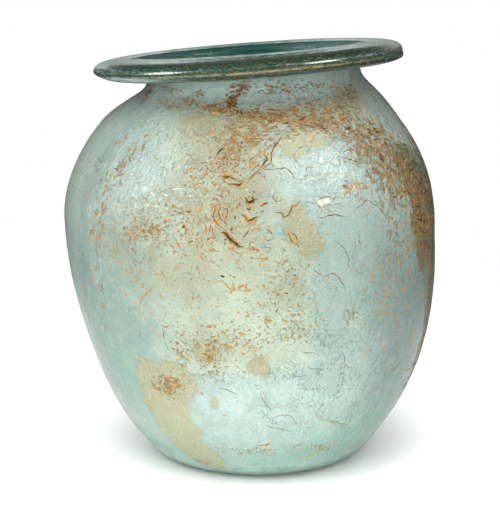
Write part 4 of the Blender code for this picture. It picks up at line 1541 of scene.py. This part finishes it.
RINGS = {
    "ochre": [
        (196, 181, 4.5, 0.9), (133, 234, 3.0, 0.8), (213, 162, 3.0, 0.8), (270, 448, 4.0, 0.7),
        (361, 186, 3.5, 0.8),
    ],
    "rust": [(233, 157, 4.0, 0.9), (225, 170, 3.0, 0.9), (158, 228, 3.2, 0.9), (170, 384, 6.0, 0.9)],
    "dark": [(380, 137, 3.0, 0.9)],
    "line": [(278, 197, 5.5, 0.6), (189, 352, 3.5, 0.6)],
}
SHADES = {"dark": 0.0, "rust": 0.25, "ochre": 0.5, "line": 0.75, "pale": 0.94}
EDGE_STEP, EDGE_SINK, EDGE_RISE = 0.7, 0.12, 0.30

# %% [markdown]
# ### A ridge on the glass
# A ridge is a thin strip with four corners in its section. Its two edges are sunk into the glass, so that
# no gap shows under it from any side.

# %% Lay a ridge on the glass
outer_rows = np.flatnonzero(np.isin(zone, ["neck", "body", "foot"]))[::-1]
outer_lengths = along_section[outer_rows]
outer_section = section[ring_rows][outer_rows]
outer_slopes = np.gradient(outer_section, axis=0)
outer_slopes /= np.linalg.norm(outer_slopes, axis=1)[:, None]


def on_glass(angle, length, lift):
    """A point in mm, lifted off the outside of the glass at these skin coordinates."""
    r, z = (np.interp(length, outer_lengths, values) for values in outer_section.T)
    slope_r, slope_z = (np.interp(length, outer_lengths, values) for values in outer_slopes.T)
    lift = lift + relief(angle, length)
    r, z = r + slope_z * lift, z - slope_r * lift
    turn = math.radians(angle)
    return settle(r * math.sin(turn), -r * math.cos(turn), z)


def smooth_path(places_on_skin):
    """Rounds a path through a few places and cuts it into short even steps."""
    path = np.array(places_on_skin, float)
    for _ in range(3):
        cut_in, cut_out = 0.75 * path[:-1] + 0.25 * path[1:], 0.25 * path[:-1] + 0.75 * path[1:]
        middle = np.stack([cut_in, cut_out], 1).reshape(-1, 2)
        path = np.concatenate([path[:1], middle[1:-1], path[-1:]])
    across = np.diff(path, axis=0) * (math.radians(1) * SKIN_RADIUS, 1.0)
    lengths = run_so_far(across)
    marks = np.linspace(0, lengths[-1], max(4, round(lengths[-1] / EDGE_STEP) + 1))
    even = np.stack([np.interp(marks, lengths, path[:, k]) for k in (0, 1)], 1)
    for step, mark in enumerate(marks):
        place = Vector((even[0][0], even[0][1], mark / 2.6))
        even[step] += (0.45 * noise.noise(place), 0.8 * noise.noise(place + Vector((9.0, 0.0, 0.0))))
    return even


def add_ridge(points, faces, shades, path, width, shade, seed, rise_share=1.0):
    """Adds one low ridge along a path of skin places to the lists of a mesh."""
    steps = len(path)
    deg = math.degrees(1 / SKIN_RADIUS)
    ahead = np.gradient(path, axis=0) * (1 / deg, 1.0)
    ahead /= np.maximum(np.linalg.norm(ahead, axis=1)[:, None], 1e-9)
    first = len(points)
    for k in range(steps):
        share = k / (steps - 1)
        taper = min(1.0, 3.2 * share + 0.15, 3.2 * (1 - share) + 0.15)
        wobble = 1 + 0.9 * noise.noise(Vector((k * EDGE_STEP / 2.2, 0.5, seed)))
        half = width / 2 * taper * wobble
        side = np.array((-ahead[k][1] * deg, ahead[k][0]))
        for across, lift in ((-1, -EDGE_SINK), (-0.35, EDGE_RISE), (0.45, EDGE_RISE * 0.7), (1, -EDGE_SINK)):
            spot = path[k] + side * half * across
            points.append(on_glass(spot[0], spot[1], lift * rise_share * min(1.0, 0.4 + half)))
            shades.append(shade + 0.16 * noise.noise(Vector((k * EDGE_STEP / 3.0, 7.5, seed))))
    for k in range(steps - 1):
        low = first + 4 * k
        for c in range(4):
            faces.append((low + c, low + (c + 1) % 4, low + 4 + (c + 1) % 4, low + 4 + c))
    faces.append((first, first + 3, first + 2, first + 1))
    last = first + 4 * (steps - 1)
    faces.append((last, last + 1, last + 2, last + 3))


edge_points, edge_faces, edge_shades = [], [], []
HALOS = {"dark": (1.6, 0.40), "rust": (1.5, 0.5)}
HALO_RISE, HALO_CORE = 0.5, 0.75


def add_edge(kind, width, path):
    """A ridge, with a wider and lower one of a warmer shade under it where dirt has spread."""
    if kind in HALOS:
        wider, halo_shade = HALOS[kind]
        seed = len(edge_points)
        add_ridge(edge_points, edge_faces, edge_shades, path, wider * width, halo_shade, seed, HALO_RISE)
        width *= HALO_CORE
    add_ridge(edge_points, edge_faces, edge_shades, path, width, SHADES[kind], len(edge_points))


for kind, edges in FLAKE_EDGES.items():
    for width, *pixels in edges:
        add_edge(kind, width, smooth_path([skin_place(x, y) for x, y in pixels]))
for kind, rings in RINGS.items():
    for x, y, size, width in rings:
        turns = [2 * math.pi * k / 9 for k in range(9)]
        pixels = [(x + size * math.cos(t), y + 0.85 * size * math.sin(t)) for t in turns]
        add_edge(kind, width, smooth_path([skin_place(*pixel) for pixel in pixels]))

# %% [markdown]
# ## Small flakes
# Between the larger edges lie hundreds of small flakes, more of them where more skin lies. They are drawn
# by chance from a fixed seed, weighted by the painted layers. A few pale ones are listed where the
# glints fall, their pale colour partly a painted glint.

# %% Lay small flakes
CHIP_COUNT, CHIP_SEED = 900, 21
CHIP_CORNERS, CHIP_RISE = 8, 0.22
CHIP_SHADES = {
    "brown": (0.0, 0.1, 0.4),
    "dots": (0.36, 0.42, 0.46, 0.5, 0.53),
    "curl": (0.1, 0.25, 0.36, 0.42, 0.46, 0.5, 0.53),
}
CHIP_WEIGHTS = {"fleck": 1.0, "bark": 0.9, "curl": 0.5, "dots": 0.22, "brown": 0.5}
# Pale small flakes, set where the glints fall; their pale colour is partly a painted glint.
PALE_GLINT_SHADE = 0.89
PALE_GLINT_CHIPS = [
    (318, 199, 5.0, 2.4, 0), (326, 198, 4.0, 1.6, 10), (337, 197, 3.4, 1.4, 0), (320, 205, 2.6, 1.6, 40),
    (302, 178, 4.2, 1.2, 15), (312, 179, 3.6, 1.3, -10), (322, 177, 3.6, 1.2, 20), (346, 175, 3.0, 1.6, 60),
    (290, 141, 4.6, 1.4, -35), (297, 137, 3.4, 1.3, -20), (305, 153, 4.0, 1.4, 0), (316, 154, 3.4, 1.4, 15),
    (333, 150, 3.0, 1.6, 30), (338, 157, 3.6, 1.2, 40), (353, 184, 3.6, 1.2, 70), (357, 176, 3.0, 1.2, 20),
    (272, 192, 3.4, 1.2, 30), (281, 198, 2.6, 1.4, 80), (263, 173, 3.6, 1.1, -20), (343, 214, 4.0, 1.2, 5),
    (330, 211, 3.6, 1.2, -15), (311, 216, 3.4, 1.2, 0), (300, 221, 2.6, 1.2, 30), (247, 190, 3.0, 1.2, 20),
    (151, 193, 4.0, 1.8, -10), (146, 205, 3.6, 1.6, 10), (163, 195, 3.4, 1.8, 30), (172, 190, 4.0, 1.4, 0),
    (181, 189, 3.4, 1.2, 15), (156, 206, 4.0, 1.5, 0), (167, 209, 3.4, 1.4, -20), (186, 166, 2.6, 1.3, 50),
    (175, 172, 2.4, 1.2, 20), (157, 213, 3.2, 1.6, 30), (190, 196, 3.0, 1.2, -30), (201, 182, 3.0, 1.6, 0),
    (240, 233, 3.0, 1.2, 60), (268, 236, 2.4, 1.0, 0), (254, 246, 2.6, 1.2, -40), (297, 262, 2.6, 1.0, 0),
]


def add_chip(points, faces, shades, place_on_skin, long, wide, turn_degrees, shade, draw):
    """Adds one small flake: an uneven leaf that lies on the glass with its middle raised."""
    deg, turn = math.degrees(1 / SKIN_RADIUS), math.radians(turn_degrees)
    first = len(points)
    for ring, lift in ((1.0, -EDGE_SINK), (0.5, CHIP_RISE), (0.0, CHIP_RISE)):
        for corner in range(CHIP_CORNERS if ring else 1):
            t = 2 * math.pi * corner / CHIP_CORNERS
            reach = ring * draw.uniform(0.65, 1.15)
            u, v = long / 2 * reach * math.cos(t), wide / 2 * reach * math.sin(t)
            across, along = u * math.cos(turn) - v * math.sin(turn), u * math.sin(turn) + v * math.cos(turn)
            points.append(on_glass(place_on_skin[0] + across * deg, place_on_skin[1] + along, lift))
            shades.append(shade + draw.uniform(-0.06, 0.06))
    middle = first + 2 * CHIP_CORNERS
    for corner in range(CHIP_CORNERS):
        after = (corner + 1) % CHIP_CORNERS
        inner, inner_after = first + CHIP_CORNERS + corner, first + CHIP_CORNERS + after
        faces.append((first + corner, first + after, inner_after, inner))
        faces.append((inner, inner_after, middle))
    faces.append(tuple(first + corner for corner in reversed(range(CHIP_CORNERS))))


draw = random.Random(CHIP_SEED)
row_share = np.abs(np.gradient(along_section))[:, None] * np.isin(zone, ["body", "neck"])[:, None]
column_share = np.abs(np.gradient(np.unwrap(np.radians(azimuths)))) * radius
chance = {
    name: share * layers[name] ** 1.5 * row_share * column_share
    for name, share in CHIP_WEIGHTS.items()
}
total = sum(chance.values())
picked = draw.choices(range(total.size), weights=total.ravel().tolist(), k=CHIP_COUNT)
for spot in picked:
    row, column = divmod(spot, len(azimuths))
    weights = [float(chance[name][row, column]) + 1e-9 for name in chance]
    kind = draw.choices(list(chance), weights=weights)[0]
    angle = float(azimuths[column]) + draw.uniform(-0.5, 0.5)
    length = float(along_section[row]) + draw.uniform(-0.7, 0.7)
    long = draw.uniform(0.8, 1.5) if kind == "dots" else 0.9 + 2.4 * draw.random() ** 2
    wide = long * draw.uniform(0.30, 0.65)
    lean = {"fleck": 0, "bark": 80, "brown": 85}.get(kind, draw.uniform(0, 180)) + draw.gauss(0, 22)
    shade = draw.choice(CHIP_SHADES.get(kind, CHIP_SHADES["curl"]))
    add_chip(edge_points, edge_faces, edge_shades, (angle, length), long, wide, lean, shade, draw)
for x, y, long, wide, lean in PALE_GLINT_CHIPS:
    add_chip(edge_points, edge_faces, edge_shades, skin_place(x, y), long, wide, lean, PALE_GLINT_SHADE, draw)
print(CHIP_COUNT + len(PALE_GLINT_CHIPS), "small flakes")

# %% [markdown]
# ## A plate
# Right of the middle a larger sheet of skin still holds. It is a thin plate with an outline through
# pixels, and a fine line round it.

# %% Lay the plate
PLATE = [
    (317, 203), (320, 198), (326, 196), (331, 197), (336, 193), (335, 199), (330, 204), (324, 207),
    (319, 207),
]
PLATE_SHADE, PLATE_LINE = 0.96, 0.55

def add_plate(points, faces, shades, coast, shade):
    """Adds a thin sheet with this outline, and a flat top just off the glass."""
    middle = coast.mean(axis=0)
    first, count = len(points), len(coast)
    for share, lift in ((1.0, -EDGE_SINK), (0.90, CHIP_RISE)):
        for place in coast:
            spot = middle + (place - middle) * share
            points.append(on_glass(spot[0], spot[1], lift))
            shades.append(shade + 0.5 * (share - 1.0))
    points.append(on_glass(middle[0], middle[1], CHIP_RISE))
    shades.append(shade)
    for k in range(count):
        after = (k + 1) % count
        faces.append((first + k, first + after, first + count + after, first + count + k))
        faces.append((first + count + k, first + count + after, first + 2 * count))
    faces.append(tuple(first + k for k in reversed(range(count))))


plate_path = smooth_path([skin_place(*pixel) for pixel in (*PLATE, PLATE[0])])
add_plate(edge_points, edge_faces, edge_shades, plate_path[:-1], PLATE_SHADE)
add_ridge(edge_points, edge_faces, edge_shades, plate_path, PLATE_LINE, SHADES["line"], len(edge_points))
print("a plate with", len(plate_path) - 1, "points round it")

# %% [markdown]
# ## Strewn flakes
# Short edges lie in drifts: along the shoulder, down the right side and in clusters. Each starts near a
# line or a spot and wanders, so that no two are the same.

# %% Strew flakes along the shoulder and down the side
WARM = ("rust", "ochre", "ochre", "ochre", "ochre", "ochre")
MIXED = ("dark", "rust", "rust", "ochre", "ochre", "ochre")
DARKER = ("dark", "dark", "rust", "rust", "ochre")
BANDS = [
    (((198, 104), (218, 110), (250, 112), (280, 116), (312, 115), (345, 120)), 8.0, 64, (0.6, 1.2), MIXED),
    (
        ((360, 126), (372, 134), (388, 148), (400, 166), (409, 190), (415, 215)),
        11.0, 120, (0.8, 1.7), DARKER,
    ),
    (((226, 92), (233, 100), (236, 112)), 6.0, 22, (0.8, 1.6), DARKER),
    (((258, 118), (288, 121), (318, 124), (346, 129)), 6.0, 46, (0.6, 1.3), DARKER),
    (((260, 90), (300, 84), (330, 82)), 5.0, 22, (0.6, 1.1), MIXED),
    (((150, 105), (175, 103), (200, 98)), 4.0, 22, (0.6, 1.1), WARM),
    (((100, 196), (118, 172), (136, 146)), 3.0, 18, (0.6, 1.0), MIXED),
    (((424, 175), (430, 205), (431, 240)), 5.0, 40, (1.2, 2.4), DARKER),
    (
        ((408, 160), (419, 185), (425, 215), (426, 245)),
        8.0, 90, (0.9, 1.9), ("dark", "dark", "dark", "rust"),
    ),
    (((430, 262), (432, 290), (428, 325), (418, 362), (404, 392)), 2.5, 40, (0.8, 1.6), DARKER),
]
CLUSTERS = [
    (236, 160, 28, 28, 16, MIXED), (216, 220, 34, 22, 15, WARM), (165, 233, 34, 12, 14, WARM),
    (250, 250, 24, 18, 7, WARM), (290, 285, 26, 26, 7, WARM), (236, 340, 40, 14, 16, WARM),
    (262, 318, 22, 20, 6, WARM), (196, 178, 20, 14, 8, WARM), (208, 357, 12, 10, 9, MIXED),
    (170, 384, 11, 8, 9, WARM), (355, 185, 14, 10, 10, WARM), (140, 290, 20, 30, 7, WARM),
    (95, 225, 8, 30, 10, WARM), (238, 130, 12, 12, 5, WARM), (225, 285, 34, 20, 10, WARM),
    (246, 200, 14, 12, 10, MIXED), (215, 245, 20, 10, 8, MIXED),
]
BAND_BEND, CLUSTER_BEND = 22, 60


def strewn_stroke(x, y, heading, reach, bend_each, width, kinds):
    """Adds a short flake edge that wanders from a pixel; False if it would leave the glass."""
    pixels = [(x, y)]
    if look_through(x, y)[0] is None:
        return False
    for _ in range(4):
        heading += draw.gauss(0, bend_each)
        turn = math.radians(heading)
        x, y = x + reach / 4 * math.cos(turn), y + reach / 4 * math.sin(turn)
        if look_through(x, y)[0] is None:
            return False
        pixels.append((x, y))
    path = smooth_path([skin_place(*pixel) for pixel in pixels])
    kind = draw.choice(kinds)
    add_ridge(edge_points, edge_faces, edge_shades, path, width, SHADES[kind], len(edge_points))
    return True


strewn = 0
for line, half_width, count, (thin, thick), kinds in BANDS:
    line = np.array(line, float)
    for _ in range(count):
        share = draw.uniform(0, len(line) - 1.001)
        part = int(share)
        along = line[part + 1] - line[part]
        spot = line[part] + along * (share - part)
        off = max(-1.6, min(1.6, draw.gauss(0, 0.6))) * half_width
        heading = math.degrees(math.atan2(along[1], along[0]))
        side = math.radians(heading + 90)
        x, y = spot[0] + off * math.cos(side), spot[1] + off * math.sin(side)
        reach, width = draw.uniform(2.5, 8.0), draw.uniform(thin, thick)
        strewn += strewn_stroke(x, y, heading + draw.gauss(0, 16), reach, BAND_BEND, width, kinds)
for x, y, wide, tall, count, kinds in CLUSTERS:
    for _ in range(count):
        spot = x + draw.gauss(0, 0.5) * wide, y + draw.gauss(0, 0.5) * tall
        reach = 2.5 + 7.5 * draw.random() ** 1.6
        width = 0.5 + 0.08 * reach
        strewn += strewn_stroke(*spot, draw.uniform(0, 360), reach, CLUSTER_BEND, width, kinds)
print(strewn, "strewn flake edges")

# %% [markdown]
# ## Edges on the back
# The back gets the same kinds of edges as the front, fewer and plainer, because only the front is known.

# %% Add plainer edges on the back
BACK_EDGES, BACK_STEP = 70, 4.0
for _ in range(BACK_EDGES):
    kind = draw.choice(("dark", "rust", "ochre", "ochre", "line", "line", "pale"))
    angle, length, heading = draw.uniform(98, 262), draw.uniform(25, 212), draw.uniform(0, 2 * math.pi)
    path = [(angle, length)]
    for _ in range(draw.randint(2, 6)):
        heading += draw.gauss(0, 0.6)
        angle += BACK_STEP * math.cos(heading) * math.degrees(1 / SKIN_RADIUS)
        length += BACK_STEP * math.sin(heading)
        path.append((angle, min(max(length, 8.0), 222.0)))
    add_edge(kind, draw.uniform(0.5, 1.2), smooth_path(path))
print(BACK_EDGES, "plainer edges on the back")

# %% [markdown]
# ## One mesh for all flakes
# All edges, flakes and the plate are one skin, so they go into one mesh. A number on each point says how
# dark or pale it is.

# %% Make the flake mesh
edge_mesh = bpy.data.meshes.new("flake_edges")
edge_mesh.from_pydata([tuple(point * MM) for point in edge_points], [], edge_faces)
edge_mesh.shade_smooth()
attribute = edge_mesh.attributes.new("shade", "FLOAT", "POINT")
attribute.data.foreach_set("value", np.array(edge_shades, np.float32))
flake_edges = add_object("flake_edges", edge_mesh)
print(sum(len(e) for e in FLAKE_EDGES.values()), "drawn flake edges;", 2 * len(edge_faces), "triangles")

# %% [markdown]
# ### Colour of the flakes
# A ramp turns that number into a colour, from dark curls over rust and ochre to pale glints, and noise
# shifts it a little.

# %% Colour the flake edges
edge_glass = bpy.data.materials.new("flake_edge")
edge_glass.use_nodes = True
tree = edge_glass.node_tree
edge_shader = tree.nodes["Principled BSDF"]
shade = put(tree, "Attribute", attribute_name="shade").outputs["Fac"]
at = put(tree, "TexCoord").outputs["Object"]
patchy = put(tree, "TexNoise", {"Vector": at, "Scale": 420.0, "Detail": 3.0}).outputs[0]
mixed = times_plus(minus(patchy, 0.5), 0.5, shade)
ramp = put(tree, "ValToRGB", {0: mixed})
EDGE_COLOURS = [from_screen(66, 44, 16), from_screen(142, 92, 34), from_screen(196, 152, 84),
                from_screen(86, 90, 70), from_screen(232, 234, 212)]
while len(ramp.color_ramp.elements) < len(EDGE_COLOURS):
    ramp.color_ramp.elements.new(0.5)
for k, (element, colour) in enumerate(zip(ramp.color_ramp.elements, EDGE_COLOURS)):
    element.position = k / (len(EDGE_COLOURS) - 1)
    element.color = colour
tree.links.new(ramp.outputs[0], edge_shader.inputs["Base Color"])
edge_rough = times_plus(patchy, 0.3, 0.2)
tree.links.new(edge_rough, edge_shader.inputs["Roughness"])
edge_bump = put(tree, "Bump", {"Height": patchy, "Distance": 0.25 * MM}).outputs[0]
tree.links.new(edge_bump, edge_shader.inputs["Normal"])
edge_mesh.materials.append(edge_glass)
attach(flake_edges, "root")
